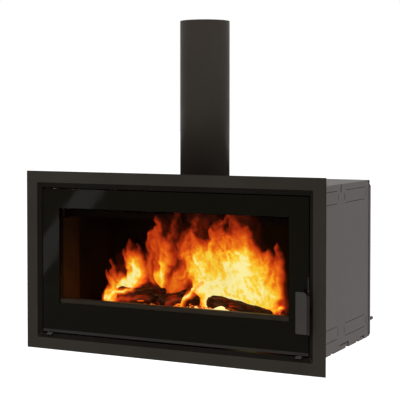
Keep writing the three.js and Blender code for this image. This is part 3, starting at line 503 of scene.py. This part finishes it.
def printed_border(n):
    """Black enamel, nearly without gloss."""
    tone = n.blend(n.noise(ENAMEL_CLOUDS), srgb(12, 10, 3), srgb(17, 14, 6))
    smear = n.span(n.noise(ENAMEL_SMEARS, 6.0), 0.3, 0.75, 0.02, 0.07)
    coat = n.add("ShaderNodeBsdfPrincipled", Base_Color=tone, Roughness=smear,
                 Specular_IOR_Level=0.03)
    return coat.outputs[0]


def clear_pane(n):
    """Glass with a thin veil of soot that mirrors only at a low angle."""
    soot = n.span(n.noise(PANE_SOOT, 5.0), 0.35, 0.8, 0.0, 0.12)
    tint = n.blend(soot, (0.94, 0.91, 0.87, 1), (0.6, 0.52, 0.44, 1))
    clear = n.add("ShaderNodeBsdfTransparent", Color=tint)
    shine = n.add("ShaderNodeBsdfGlossy", Roughness=0.05)
    facing = n.new("ShaderNodeLayerWeight").outputs["Facing"]
    gloss = n.times(n.math("POWER", facing, 5.0), 0.3)
    return n.mix(gloss, clear.outputs[0], shine.outputs[0])


def door_glass():
    """Clear ceramic pane with a black border printed on it."""
    n = material("ceramic_glass")
    across = between(n, n.axis("X"), -CLEAR_HALF, CLEAR_HALF)
    upright = between(n, n.axis("Z"), CLEAR_LOW, CLEAR_HIGH)
    return n.finish(n.mix(n.times(across, upright), printed_border(n), clear_pane(n)))


def bark():
    """Charred bark: brown ridges and dark furrows, with glowing cracks low down."""
    n = material("bark")
    ridge = n.stored("bark_ridge")
    fine = n.noise(BARK_GRAIN, 8.0, 0.7)
    tone = n.ramp(n.times(ridge, fine), [
        (0.05, srgb(16, 11, 8)),
        (0.3, srgb(58, 36, 22)),
        (0.7, srgb(112, 82, 60)),
    ])
    low = n.span(n.axis("Z"), *CRACK_HEIGHTS)
    crack = n.times(n.span(ridge, 0.42, 0.15), n.span(n.noise(BARK_CRACKS, 3.0), 0.42, 0.62))
    glow = n.times(crack, n.math("ADD", n.times(low, 1.8), 0.12))
    heat = n.ramp(glow, [
        (0.0, (0.0, 0.0, 0.0, 1)),
        (0.35, (0.5, 0.03, 0.0, 1)),
        (0.8, (1.0, 0.3, 0.03, 1)),
    ])
    return n.finish(n.surface(tone, 0.95, 0.1, n.bump(fine, BARK_DEPTH, 0.8),
                              Emission_Color=heat, Emission_Strength=1.4))


def embers():
    """Hot charcoal: orange light between grey, ash-dusted lumps, hottest at one spot."""
    n = material("embers")
    white = n.span(n.measure("DISTANCE", n.where, HOT_SPOT), *HOT_REACH)
    lump = n.cells(COALS)
    patches = n.span(n.noise(HOT_PATCHES, 4.0), 0.42, 0.66)
    hot = n.math("ADD", n.times(n.span(lump, 0.15, 0.7), patches), white, clamp=True)
    heat = n.ramp(hot, [
        (0.05, (0.02, 0.0, 0.0, 1)),
        (0.35, (0.7, 0.06, 0.0, 1)),
        (0.7, (1.0, 0.38, 0.05, 1)),
        (1.0, (1.0, 0.8, 0.35, 1)),
    ])
    tone = n.blend(n.noise(COAL_ASH, 6.0), srgb(20, 17, 15), srgb(92, 84, 76))
    return n.finish(n.surface(tone, 0.95, 0.5, n.bump(lump, COAL_DEPTH),
                              Emission_Color=heat, Emission_Strength=1.5))


def flame():
    """Light only: the heat stored in the sheet sets its colour, from dim red to pale yellow."""
    n = material("flame")
    wisps = n.span(n.noise(1.0, 5.0, 0.6, n.stretch(WISPS)), *MOST_NOISE, -0.05, 0.03)
    heat = n.math("ADD", n.stored("fire_heat"), wisps, clamp=True)
    colour = n.ramp(heat, [
        (0.0, (0.0, 0.0, 0.0, 1)),
        (0.14, (0.03, 0.003, 0.001, 1)),
        (0.3, (0.16, 0.012, 0.003, 1)),
        (0.47, (0.48, 0.035, 0.006, 1)),
        (0.64, (0.8, 0.1, 0.009, 1)),
        (0.77, (0.98, 0.24, 0.012, 1)),
        (0.87, (1.1, 0.5, 0.02, 1)),
        (0.95, (1.1, 0.82, 0.07, 1)),
        (1.0, (1.1, 1.03, 0.45, 1)),
    ])
    through = n.add("ShaderNodeBsdfTransparent", Color=n.span(heat, 0.35, 0.95, 1.0, 0.12))
    light = n.add("ShaderNodeEmission", Color=colour, Strength=1.0)
    return n.finish(n.sum(through.outputs[0], light.outputs[0]))


def motor_plastic():
    """Dark moulded plastic with a fine spark-eroded grain."""
    n = material("motor_black")
    tone = n.blend(n.noise(MOULD_CLOUDS, 4.0), srgb(24, 24, 25), srgb(44, 43, 43))
    sheen = n.span(n.noise(MOULD_SHEEN), *MOST_NOISE, 0.45, 0.6)
    grain = n.bump(n.noise(MOULD_GRAIN), MOULD_DEPTH)
    return n.finish(n.surface(tone, sheen, 0.2, grain))


MATERIALS = {
    "trim_black": paint("trim_black", srgb(46, 42, 36), 0.42, 0.08, wear=0.5),
    "casing_grey": paint("casing_grey", srgb(80, 74, 72), 0.5, 0.1, drift=0.015, wear=0.35,
                         ripple=0.00002, patchy=0.01),
    "flue_black": paint("flue_black", srgb(55, 50, 45), 0.42, 0.05, drift=0.04),
    "black_steel": paint("black_steel", srgb(48, 44, 40), 0.4, 0.2, wear=0.7),
    "bare_steel": steel("bare_steel", srgb(120, 117, 113), 0.5),
    "bright_steel": steel("bright_steel", srgb(96, 93, 88), 0.4, stain=0.12),
    "ceramic_glass": door_glass(),
    "seal_rope": seal_rope(),
    # Front posts: soot and some painted shade darken the board.
    "vermiculite": vermiculite("vermiculite", 0.22),
    "cast_iron": cast_iron(),
    "motor_black": motor_plastic(),
    "bark": bark(),
}
# Painted shade: dark paint on the trim's inner bevel, standing in for the dark surroundings that it
# mirrors.
BEVEL_PAINTED_SHADE = paint("bevel_painted_shade", srgb(25, 22, 18), 0.6, 0.02, wear=0.3)
LEVER_STEEL = steel("lever_steel", srgb(118, 114, 108), 0.4, stain=0.1)
RAIL_GREY = paint("rail_grey", srgb(34, 31, 27), 0.4, 0.12, wear=0.5)
# Painted light: the door frame's paint is lighter than its own, standing in for the firelight on
# its bottom rail seen through the glass.
SILL_GREY_PAINTED_LIGHT = paint("sill_grey_painted_light", srgb(74, 68, 61), 0.5, 0.1, drift=0.05, sooty=SILL_SOOT)
# Firebox boards darkened nearly to black: soot and painted shade.
SOOTED_SHADED = vermiculite("sooted_shaded_board", 0.06)
EMBERS = embers()
FLAME = flame()

SPECIAL = {                      # looks of nodes that differ from the rest of their slot
    "door_frame": SILL_GREY_PAINTED_LIGHT,
    "handle_rod": RAIL_GREY,
    "primary_air_slide": LEVER_STEEL,
    "secondary_air_slide": LEVER_STEEL,
    "side_liner_right": SOOTED_SHADED,
    "side_liner_left": SOOTED_SHADED,
    "back_liner": SOOTED_SHADED,
    "baffle": SOOTED_SHADED,
}


def dress_nodes():
    for part in frame["record"]["subparts"]:
        mesh = frame["nodes"][part["node"]].data
        mesh.materials.clear()
        mesh.materials.append(SPECIAL.get(part["node"], MATERIALS[part["material_slot"]]))


# ------------------------------------------------------------------ piece helpers
def body_of(node):
    for body, nodes in frame["record"]["behaviour"]["bodies"].items():
        if node in nodes:
            return body
    raise KeyError(node)


def slot_of(node):
    return next(p["material_slot"] for p in frame["record"]["subparts"] if p["node"] == node)


def piece(name, bm, look, body, smooth=True):
    mesh = bpy.data.meshes.new(name)
    bm.to_mesh(mesh)
    bm.free()
    mesh.materials.append(look)
    for polygon in mesh.polygons:
        polygon.use_smooth = smooth
    made = bpy.data.objects.new(name, mesh)
    bpy.context.collection.objects.link(made)
    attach(made, body)
    return made


def circle(sides):
    """Cosines and sines of evenly spaced angles."""
    for i in range(sides):
        angle = 2 * math.pi * i / sides
        yield math.cos(angle), math.sin(angle)


def bridge(bm, ring, above):
    """Quads between two closed rings of vertices."""
    for i, vert in enumerate(ring):
        j = (i + 1) % len(ring)
        bm.faces.new((vert, ring[j], above[j], above[i]))


def drop_specks(bm, least):
    """Deletes connected patches with fewer faces than least."""
    seen = set()
    small = []
    for first in bm.faces:
        if first in seen:
            continue
        patch = {first}
        rim = [first]
        while rim:
            face = rim.pop()
            near = {f for edge in face.edges for f in edge.link_faces} - patch
            patch |= near
            rim.extend(near)
        seen |= patch
        if len(patch) < least:
            small.extend(patch)
    bmesh.ops.delete(bm, geom=small, context="FACES")


def skin(bm, grid, level, least):
    """Quads over a grid of vertices wherever a corner's level is above least."""
    for column, after in zip(grid, grid[1:]):
        for k in range(len(column) - 1):
            quad = (column[k], after[k], after[k + 1], column[k + 1])
            if max(level(vert) for vert in quad) > least:
                bm.faces.new(quad)
    drop_specks(bm, SPECK_FACES)
    bmesh.ops.delete(bm, geom=[v for v in bm.verts if not v.link_faces], context="VERTS")


# ------------------------------------------------------------------ rounded sheet metal
LEAN_LEAST = 0.1                 # a face leans when this much of its normal points forward,
LEAN_MOST = 0.98                 # and no more than this
LEAN_AREA = 20                   # times the square of the edge's width


def lean_look(mesh, look, width):
    """Gives a second look to the faces that lean between the front and the sides; on the trim's
    bevel this look is painted shade.
    """
    mesh.materials.append(look)
    for polygon in mesh.polygons:
        leans = LEAN_LEAST < -polygon.normal.y < LEAN_MOST
        if leans and polygon.area > width * width * LEAN_AREA:
            polygon.material_index = 1


def round_edges(node, name, width, look=None, slopes=None):
    """A copy of a node with its sharp edges rounded, standing in for the node."""
    bm = bmesh.new()
    bm.from_mesh(frame["nodes"][node].data)
    bmesh.ops.remove_doubles(bm, verts=bm.verts, dist=WELD)
    bmesh.ops.dissolve_limit(bm, angle_limit=FLAT, verts=bm.verts, edges=bm.edges)
    edges = [e for e in bm.edges if len(e.link_faces) == 2 and e.calc_face_angle(0) > SHARP]
    bmesh.ops.bevel(bm, geom=edges, offset=width, segments=BEVEL_STEPS, profile=BEVEL_PROFILE,
                    affect="EDGES", clamp_overlap=True)
    bmesh.ops.triangulate(bm, faces=[f for f in bm.faces if len(f.verts) > 4])
    slot = slot_of(node)
    made = piece(name, bm, look or MATERIALS[slot], body_of(node), smooth=False)
    if slopes:
        lean_look(made.data, slopes, width)
    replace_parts(made, node)


# Node, name of its stand-in, width of its rounded edges, its look where that isn't its slot's,
# and the look of its leaning faces, which on the trim's bevel is painted shade.
ROUNDED = [
    ("trim_frame", "trim_rounded", 0.0009, None, BEVEL_PAINTED_SHADE),
    ("door_handle", "handle_rounded", 0.0008, None, None),
    ("glass_rail", "rail_rounded", 0.0005, RAIL_GREY, None),
    ("casing_right", "side_right_rounded", 0.0004, None, None),
    ("casing_left", "side_left_rounded", 0.0004, None, None),
    ("casing_top", "top_rounded", 0.0004, None, None),
    ("casing_rear", "rear_rounded", 0.0004, None, None),
]


# ------------------------------------------------------------------ flue pipe
def flue():
    """Round pipe with a softened top edge."""
    low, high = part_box("flue_pipe")
    middle = (Vector(low) + Vector(high)) / 2
    top = high[2]
    outer = (high[0] - low[0]) / 2
    inner = outer - FLUE_WALL
    section = [
        (outer, low[2]), (outer, top - FLUE_SOFT), (outer - FLUE_SOFT, top),
        (inner + FLUE_SOFT, top), (inner, top - FLUE_SOFT), (inner, low[2]),
    ]
    bm = bmesh.new()
    rings = []
    for radius, z in section:
        rings.append([bm.verts.new((middle.x + radius * c, middle.y + radius * s, z))
                      for c, s in circle(FLUE_SIDES)])
    for ring, above in zip(rings, rings[1:] + rings[:1]):
        bridge(bm, ring, above)
    for edge in bm.edges:
        if len(edge.link_faces) == 2 and edge.calc_face_angle(0) > FLUE_SHARP:
            edge.smooth = False
    tube = piece("flue_tube", bm, MATERIALS["flue_black"], "casing")
    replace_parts(tube, "flue_pipe")


# ------------------------------------------------------------------ logs
UP = Vector((0, 0, 1))
FADE = 0.9                       # how quickly the finer octaves of the noise weaken
OCTAVE = 2.1


def lump_noise(point, scale, seed):
    return noise.fractal(Vector(point) * scale + Vector((seed, seed * 0.7, 0)), FADE, OCTAVE, 4)


def bark_noise(way, step, pattern, seed):
    around, lengthwise, scale = pattern
    return lump_noise(way * around + step * lengthwise, scale, seed)


def bark_at(way, along, t, seed):
    """The share of the radius that the bark reaches, and 0 in a furrow to 1 on a ridge."""
    furrow = bark_noise(way, along * t, FURROWS, seed)
    knot = bark_noise(way, along * t, KNOTS, seed + 9)
    narrow = 1 - LOG_TAPER * max(0.0, abs(2 * t - 1) - LOG_END)
    share = min(1.0, narrow * (BARK_MEAN + FURROW_SHARE * furrow + KNOT_SHARE * knot))
    return share, min(1.0, max(0.0, 0.5 + RIDGE_GAIN * furrow))


def close_end(bm, layer, ring, hub):
    middle = bm.verts.new(hub)
    middle[layer] = END_RIDGE
    for i, vert in enumerate(ring):
        bm.faces.new((ring[(i + 1) % len(ring)], vert, middle))


def log(node, ends, radii, seed):
    """Split, charred log: lengthwise furrows and ragged ends, inside the node's solid."""
    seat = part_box(node)[0][2]
    start, end = (Vector((x, y, seat + radius)) for (x, y), radius in zip(ends, radii))
    along = (end - start).normalized()
    side = along.cross(UP).normalized()
    bm = bmesh.new()
    layer = bm.verts.layers.float.new("bark_ridge")
    rings = []
    for k in range(LOG_RINGS + 1):
        t = k / LOG_RINGS
        radius = radii[0] + t * (radii[1] - radii[0])
        ring = []
        for c, s in circle(LOG_SIDES):
            way = side * c + UP * s
            share, ridge = bark_at(way, along, t, seed)
            point = start.lerp(end, t) + way * (radius * share)
            point.z = max(point.z, seat)
            vert = bm.verts.new(point)
            vert[layer] = ridge
            ring.append(vert)
        rings.append(ring)
    for ring, above in zip(rings, rings[1:]):
        bridge(bm, ring, above)
    close_end(bm, layer, rings[0], start + along * LOG_HOLLOW)
    close_end(bm, layer, rings[-1], end - along * LOG_HOLLOW)
    bmesh.ops.recalc_face_normals(bm, faces=bm.faces)
    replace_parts(piece(node + "_bark", bm, MATERIALS["bark"], "casing"), node)


# ------------------------------------------------------------------ embers
def hearth_top():
    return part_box("hearth_brick_left")[1][2]


def centred(value, limits):
    """Where a value lies between two limits, from -1 to 1."""
    return 2 * (value - limits[0]) / (limits[1] - limits[0]) - 1


def spread(share, limits):
    """The value at a share from -1 to 1 between two limits."""
    return (limits[0] + limits[1]) / 2 + share * (limits[1] - limits[0]) / 2


def bed_height(x, y):
    """Height of the embers above the bricks: a rough heap with a mound at its hot spot."""
    u = centred(x, EMBER_X)
    v = centred(y, EMBER_Y)
    heap = max(0.0, 1 - (u * u + v * v) ** EMBER_CROWN)
    rough = max(0.0, 0.5 + 0.5 * lump_noise((x, y, 0), EMBER_GRAIN, EMBER_SEED))
    mound = max(0.0, 1 - math.hypot(x - HOT_SPOT[0], y - HOT_SPOT[1]) / MOUND_RADIUS)
    return EMBER_FOOT + heap * (EMBER_RISE + EMBER_ROUGH * rough) + mound * MOUND_RISE


def ember_bed():
    """Low heap of glowing charcoal that lies on the hearth bricks between the logs."""
    ground = hearth_top()
    columns = int((EMBER_X[1] - EMBER_X[0]) / EMBER_CELL)
    rows = int((EMBER_Y[1] - EMBER_Y[0]) / EMBER_CELL)
    bm = bmesh.new()
    grid = []
    for i in range(columns + 1):
        x = EMBER_X[0] + i * EMBER_CELL
        ys = [EMBER_Y[0] + j * EMBER_CELL for j in range(rows + 1)]
        grid.append([bm.verts.new((x, y, ground + bed_height(x, y))) for y in ys])
    skin(bm, grid, lambda vert: vert.co.z, ground + 2 * EMBER_FOOT)
    piece("ember_bed", bm, EMBERS, "casing")


def charcoal():
    """Broken pieces of charcoal scattered over the ember bed."""
    bed = hearth_top() + LUMP_REST
    bm = bmesh.new()
    for k in range(LUMPS):
        spot = noise.cell_vector(SCATTER_FROM + Vector((k * SCATTER_STEP, 0, 0)))
        u = 2 * spot.x - 1
        v = 2 * spot.y - 1
        if u * u + v * v > BED_EDGE:
            continue
        size = LUMP_LEAST + LUMP_SPREAD * spot.z
        at = Vector((spread(u, EMBER_X), spread(v, EMBER_Y), bed + size * LUMP_LIFT))
        made = bmesh.ops.create_icosphere(bm, subdivisions=2, radius=size)["verts"]
        for vert in made:
            blunt = 1 + LUMP_BLUNT * lump_noise(vert.co, LUMP_GRAIN, k)
            vert.co = at + vert.co * LUMP_SHAPE * blunt
    piece("charcoal_lumps", bm, EMBERS, "casing", smooth=False)


# ------------------------------------------------------------------ flames
# Each tongue is a bent line from its root to its tip, given by a column, a row and a half
# width in pixels of the photograph, then its heat at the root and at the tip.
BACK_TONGUES = [
    ([(238, 308, 32), (240, 294, 31), (238, 278, 24)], 1.8, 1.1),
    ([(240, 296, 36), (239, 280, 32), (235, 266, 25), (229, 254, 15), (226, 242, 6)], 1.08, 0.85),
    ([(266, 304, 20), (268, 288, 17), (268, 274, 15), (268, 262, 9)], 1.08, 0.72),
    ([(279, 296, 5), (280, 276, 5), (280, 262, 4), (279, 250, 3), (279, 243, 1)], 0.75, 0.4),
    ([(252, 262, 15), (247, 250, 12), (240, 238, 10), (236, 228, 7), (232, 216, 4)], 0.7, 0.3),
    ([(248, 256, 7), (250, 246, 6), (249, 236, 4), (246, 228, 2)], 0.5, 0.22),
    ([(203, 286, 8), (203, 268, 13), (202, 254, 12), (198, 244, 7), (194, 236, 3)], 1.12, 0.5),
    ([(206, 260, 9), (211, 246, 7), (216, 237, 6), (224, 232, 4), (232, 238, 2)], 0.6, 0.5),
    ([(216, 258, 6), (214, 246, 5), (216, 232, 5), (222, 222, 4), (228, 214, 2)], 0.5, 0.24),
    ([(216, 298, 10), (210, 285, 12), (204, 272, 10)], 1.0, 0.9),
    ([(166, 294, 3), (165, 284, 5), (164, 274, 6)], 0.5, 0.7),
    ([(164, 280, 6), (165, 264, 7), (164, 250, 8), (158, 234, 4), (157, 219, 2)], 0.98, 0.3),
    ([(155, 280, 4), (153, 262, 5), (153, 246, 5), (152, 234, 3)], 0.5, 0.45),
    ([(173, 262, 4), (171, 252, 6), (171, 240, 5), (175, 228, 5), (178, 210, 3)], 0.5, 0.2),
    ([(184, 254, 6), (186, 242, 6), (190, 234, 5), (196, 226, 4), (198, 216, 2)], 0.6, 0.2),
    ([(176, 288, 8), (182, 278, 8), (190, 268, 8), (194, 256, 8)], 0.66, 0.66),
    ([(132, 284, 8), (140, 272, 8), (137, 262, 9), (131, 252, 6), (128, 241, 2)], 1.7, 0.36),
    ([(146, 278, 4), (147, 266, 4), (142, 254, 3), (135, 243, 1)], 0.6, 0.35),
    ([(113, 297, 9), (115, 287, 7), (112, 278, 4), (108, 271, 2)], 1.2, 0.45),
    ([(128, 288, 8), (121, 280, 7), (114, 270, 3), (110, 260, 1)], 1.0, 0.35),
    ([(160, 292, 20), (164, 262, 20), (166, 232, 14)], 0.3, 0.22),
    ([(196, 284, 26), (200, 252, 26), (204, 222, 16)], 0.34, 0.22),
    ([(240, 262, 26), (238, 222, 16)], 0.32, 0.2),
    ([(124, 288, 16), (130, 262, 12)], 0.28, 0.2),
]
FRONT_TONGUES = [
    ([(111, 296, 5), (120, 293, 4), (132, 288, 4), (147, 280, 2)], 1.25, 0.9),
    ([(179, 309, 1), (187, 299, 3), (195, 290, 4), (203, 282, 3)], 1.1, 1.0),
    ([(168, 305, 3), (175, 302, 3), (182, 298, 2)], 0.45, 0.35),
    ([(268, 311, 4), (276, 310, 5), (284, 308, 2)], 0.8, 1.0),
    ([(118, 303, 4), (132, 299, 5), (147, 297, 3)], 0.5, 0.35),
    ([(203, 309, 3), (206, 300, 4), (206, 291, 2)], 0.45, 0.3),
]
TONGUE_SPREAD = 1.3              # reach of a tongue's heat, per half width
THREAD_DEPTH = 0.5
THREAD_ACROSS = 0.28             # noise across and along a tongue, and its shift per heat
THREAD_ALONG = 0.8
THREAD_SHIFT = (50, 9)
HEAT_SHARE = 0.86
HEAT_MOST = 0.99
FLAME_CURVE = 1.4                # the higher, the later in its rise the sheet leans forward
FLOW = Vector((34, 26))          # draught across and up, in cells per metre
LIFT_SHIFT = Vector((31, 7, 0))
BEND_FOOT = 1.5                  # pixels that the draught moves the foot of a tongue
BEND_RISE = 3.5                  # pixels added sideways at the top of the sheet
LIFT_RISE = 5.0                  # pixels added up and down there
SWIRL = 0.08
SWIRL_FLOW = Vector((42, 30))
SWIRL_SHIFT = 5
BACK_SEED = 1.3
FRONT_SEED = 8.6


def tongue_heat(x, y, spine, root, tip):
    """Heat of one tongue at a pixel: hottest on its bent line, in threads that run along it."""
    best = 0.0
    last = len(spine) - 1
    for k, ((ax, ay, aw), (bx, by, bw)) in enumerate(zip(spine, spine[1:])):
        dx = bx - ax
        dy = by - ay
        t = ((x - ax) * dx + (y - ay) * dy) / (dx * dx + dy * dy)
        t = min(1.0, max(0.0, t))
        away = math.hypot(x - ax - t * dx, y - ay - t * dy)
        width = (aw + t * (bw - aw)) * TONGUE_SPREAD
        share = (k + t) / last
        level = (root + (tip - root) * share) * (1 - (away / width) ** 2)
        if level > best:
            side = math.copysign(away, (x - ax) * dy - (y - ay) * dx)
            across = side * THREAD_ACROSS + root * THREAD_SHIFT[0]
            along = (k + t) * THREAD_ALONG
            thread = noise.noise(Vector((across, along, root * THREAD_SHIFT[1])))
            best = level * (1 + THREAD_DEPTH * thread / max(1.0, root * root))
    return best


def flame_heat(point, rise, tongues, seed):
    """Heat of all the tongues at a point, their shapes bent more and more as they rise."""
    px, py = pixel_of(point)
    flow = Vector((point.x * FLOW.x, point.z * FLOW.y, seed))
    bend = noise.fractal(flow, FADE, OCTAVE, 2)
    lift = noise.fractal(flow + LIFT_SHIFT, FADE, OCTAVE, 2)
    px += bend * (BEND_FOOT + BEND_RISE * rise)
    py += lift * (BEND_FOOT + LIFT_RISE * rise)
    cold = 1.0
    for spine, root, tip in tongues:
        cold *= 1 - min(HEAT_MOST, HEAT_SHARE * tongue_heat(px, py, spine, root, tip))
    across = point.x * SWIRL_FLOW.x + bend
    up = point.z * SWIRL_FLOW.y + lift
    swirl = noise.fractal(Vector((across, up, seed + SWIRL_SHIFT)), 1.0, OCTAVE, 3)
    return (1 - cold) * (1 + SWIRL * swirl)


def sheet_corners(tongues, depth, lean):
    """Lower left and upper right corners of a sheet that holds the tongues."""
    points = [point for spine, _, _ in tongues for point in spine]
    columns = [px for px, _, _ in points]
    rows = [py for _, py, _ in points]
    right = max(columns) + MARGIN_SIDE
    top = min(rows) - MARGIN_ABOVE
    low = seen_at(min(columns) - MARGIN_SIDE, max(rows) + MARGIN_BELOW, depth)
    high = seen_at(right, top, depth)
    high.x = seen_at(right, top, depth - lean).x
    return low, high


def flame_sheet(name, tongues, depth, lean, seed):
    """One sheet of fire that leans forward as it rises, bulged where it is hottest."""
    low, high = sheet_corners(tongues, depth, lean)
    columns = int((min(high.x, FLAME_RIGHT) - low.x) / FLAME_CELL)
    rows = int((min(high.z, FLAME_TOP) - low.z) / FLAME_CELL)
    bm = bmesh.new()
    layer = bm.verts.layers.float.new("fire_heat")
    grid = []
    for i in range(columns + 1):
        column = []
        for k in range(rows + 1):
            rise = k * FLAME_CELL / (high.z - low.z)
            y = depth - lean * rise ** FLAME_CURVE
            point = Vector((low.x + i * FLAME_CELL, y, low.z + k * FLAME_CELL))
            heat = flame_heat(point, rise, tongues, seed)
            point.y -= FLAME_BULGE * min(1.0, heat)
            vert = bm.verts.new(point)
            vert[layer] = heat
            column.append(vert)
        grid.append(column)
    skin(bm, grid, lambda vert: vert[layer], FAINTEST)
    made = piece(name, bm, FLAME, "casing")
    made.visible_shadow = False


# ------------------------------------------------------------------ stage and lights
def stage():
    """Pale floor that keeps the object's shadow and looks white."""
    bm = bmesh.new()
    bmesh.ops.create_grid(bm, x_segments=1, y_segments=1, size=FLOOR_SIZE)
    mesh = bpy.data.meshes.new("floor")
    bm.to_mesh(mesh)
    bm.free()
    floor = bpy.data.objects.new("floor", mesh)
    floor.location.z = FLOOR_Z
    bpy.context.collection.objects.link(floor)
    n = material("floor")
    matt = n.add("ShaderNodeBsdfDiffuse", Color=FLOOR_GREY)
    glow = n.add("ShaderNodeEmission", Color=WHITE, Strength=n.times(n.looked_at(), FLOOR_GLOW))
    mesh.materials.append(n.finish(n.sum(matt.outputs[0], glow.outputs[0])))


def world():
    """White where it is looked at, softer as a light."""
    made = bpy.data.worlds.new("studio")
    n = Nodes(made, "ShaderNodeOutputWorld")
    level = n.span(n.looked_at(), 0.0, 1.0, WORLD_SOFT, 1.0)
    n.finish(n.add("ShaderNodeBackground", Color=WHITE, Strength=level).outputs[0])
    bpy.context.scene.world = made


def place_light(data, at):
    made = bpy.data.objects.new(data.name, data)
    made.location = at
    made.visible_camera = False
    bpy.context.collection.objects.link(made)
    return made


def soft_box(name, at, aim, size, power, glossy=False, roll=0.0):
    """Rectangular lamp; glossy says whether things mirror it."""
    data = bpy.data.lights.new(name, "AREA")
    data.shape = "RECTANGLE"
    data.size, data.size_y = size
    data.energy = power
    made = place_light(data, at)
    made.rotation_euler = (Vector(aim) - Vector(at)).to_track_quat("-Z", "Y").to_euler()
    made.rotation_euler.rotate_axis("Z", roll)
    made.visible_glossy = glossy


def fire_light(at, power):
    """Warm light that the flames cast on the firebox."""
    data = bpy.data.lights.new("fire", "POINT")
    data.energy = power
    data.color = FIRE_COLOUR
    data.shadow_soft_size = FIRE_BALL
    place_light(data, at).visible_glossy = False


def lights():
    soft_box("key", KEY_AT, KEY_AIM, BOX_SIZE, KEY_POWER)
    soft_box("side", SIDE_AT, SIDE_AIM, BOX_SIZE, SIDE_POWER)
    ahead = STRIP_AT + Vector((0, 1, 0))
    soft_box("strip", STRIP_AT, ahead, STRIP_SIZE, STRIP_POWER, glossy=True, roll=STRIP_ROLL)
    for at, power in FIRE_SPOTS:
        fire_light(at, power)


# ------------------------------------------------------------------ making it
place_camera()
world()
lights()
stage()
dress_nodes()
for node, name, width, look, slopes in ROUNDED:
    round_edges(node, name, width, look, slopes)
flue()
for node, (ends, radii, seed) in LOGS.items():
    log(node, ends, radii, seed)
ember_bed()
charcoal()
flame_sheet("flames_behind", BACK_TONGUES, BACK_DEPTH, BACK_LEAN, BACK_SEED)
flame_sheet("flames_before", FRONT_TONGUES, FRONT_DEPTH, 0.0, FRONT_SEED)

bpy.context.scene.view_settings.view_transform = "Standard"
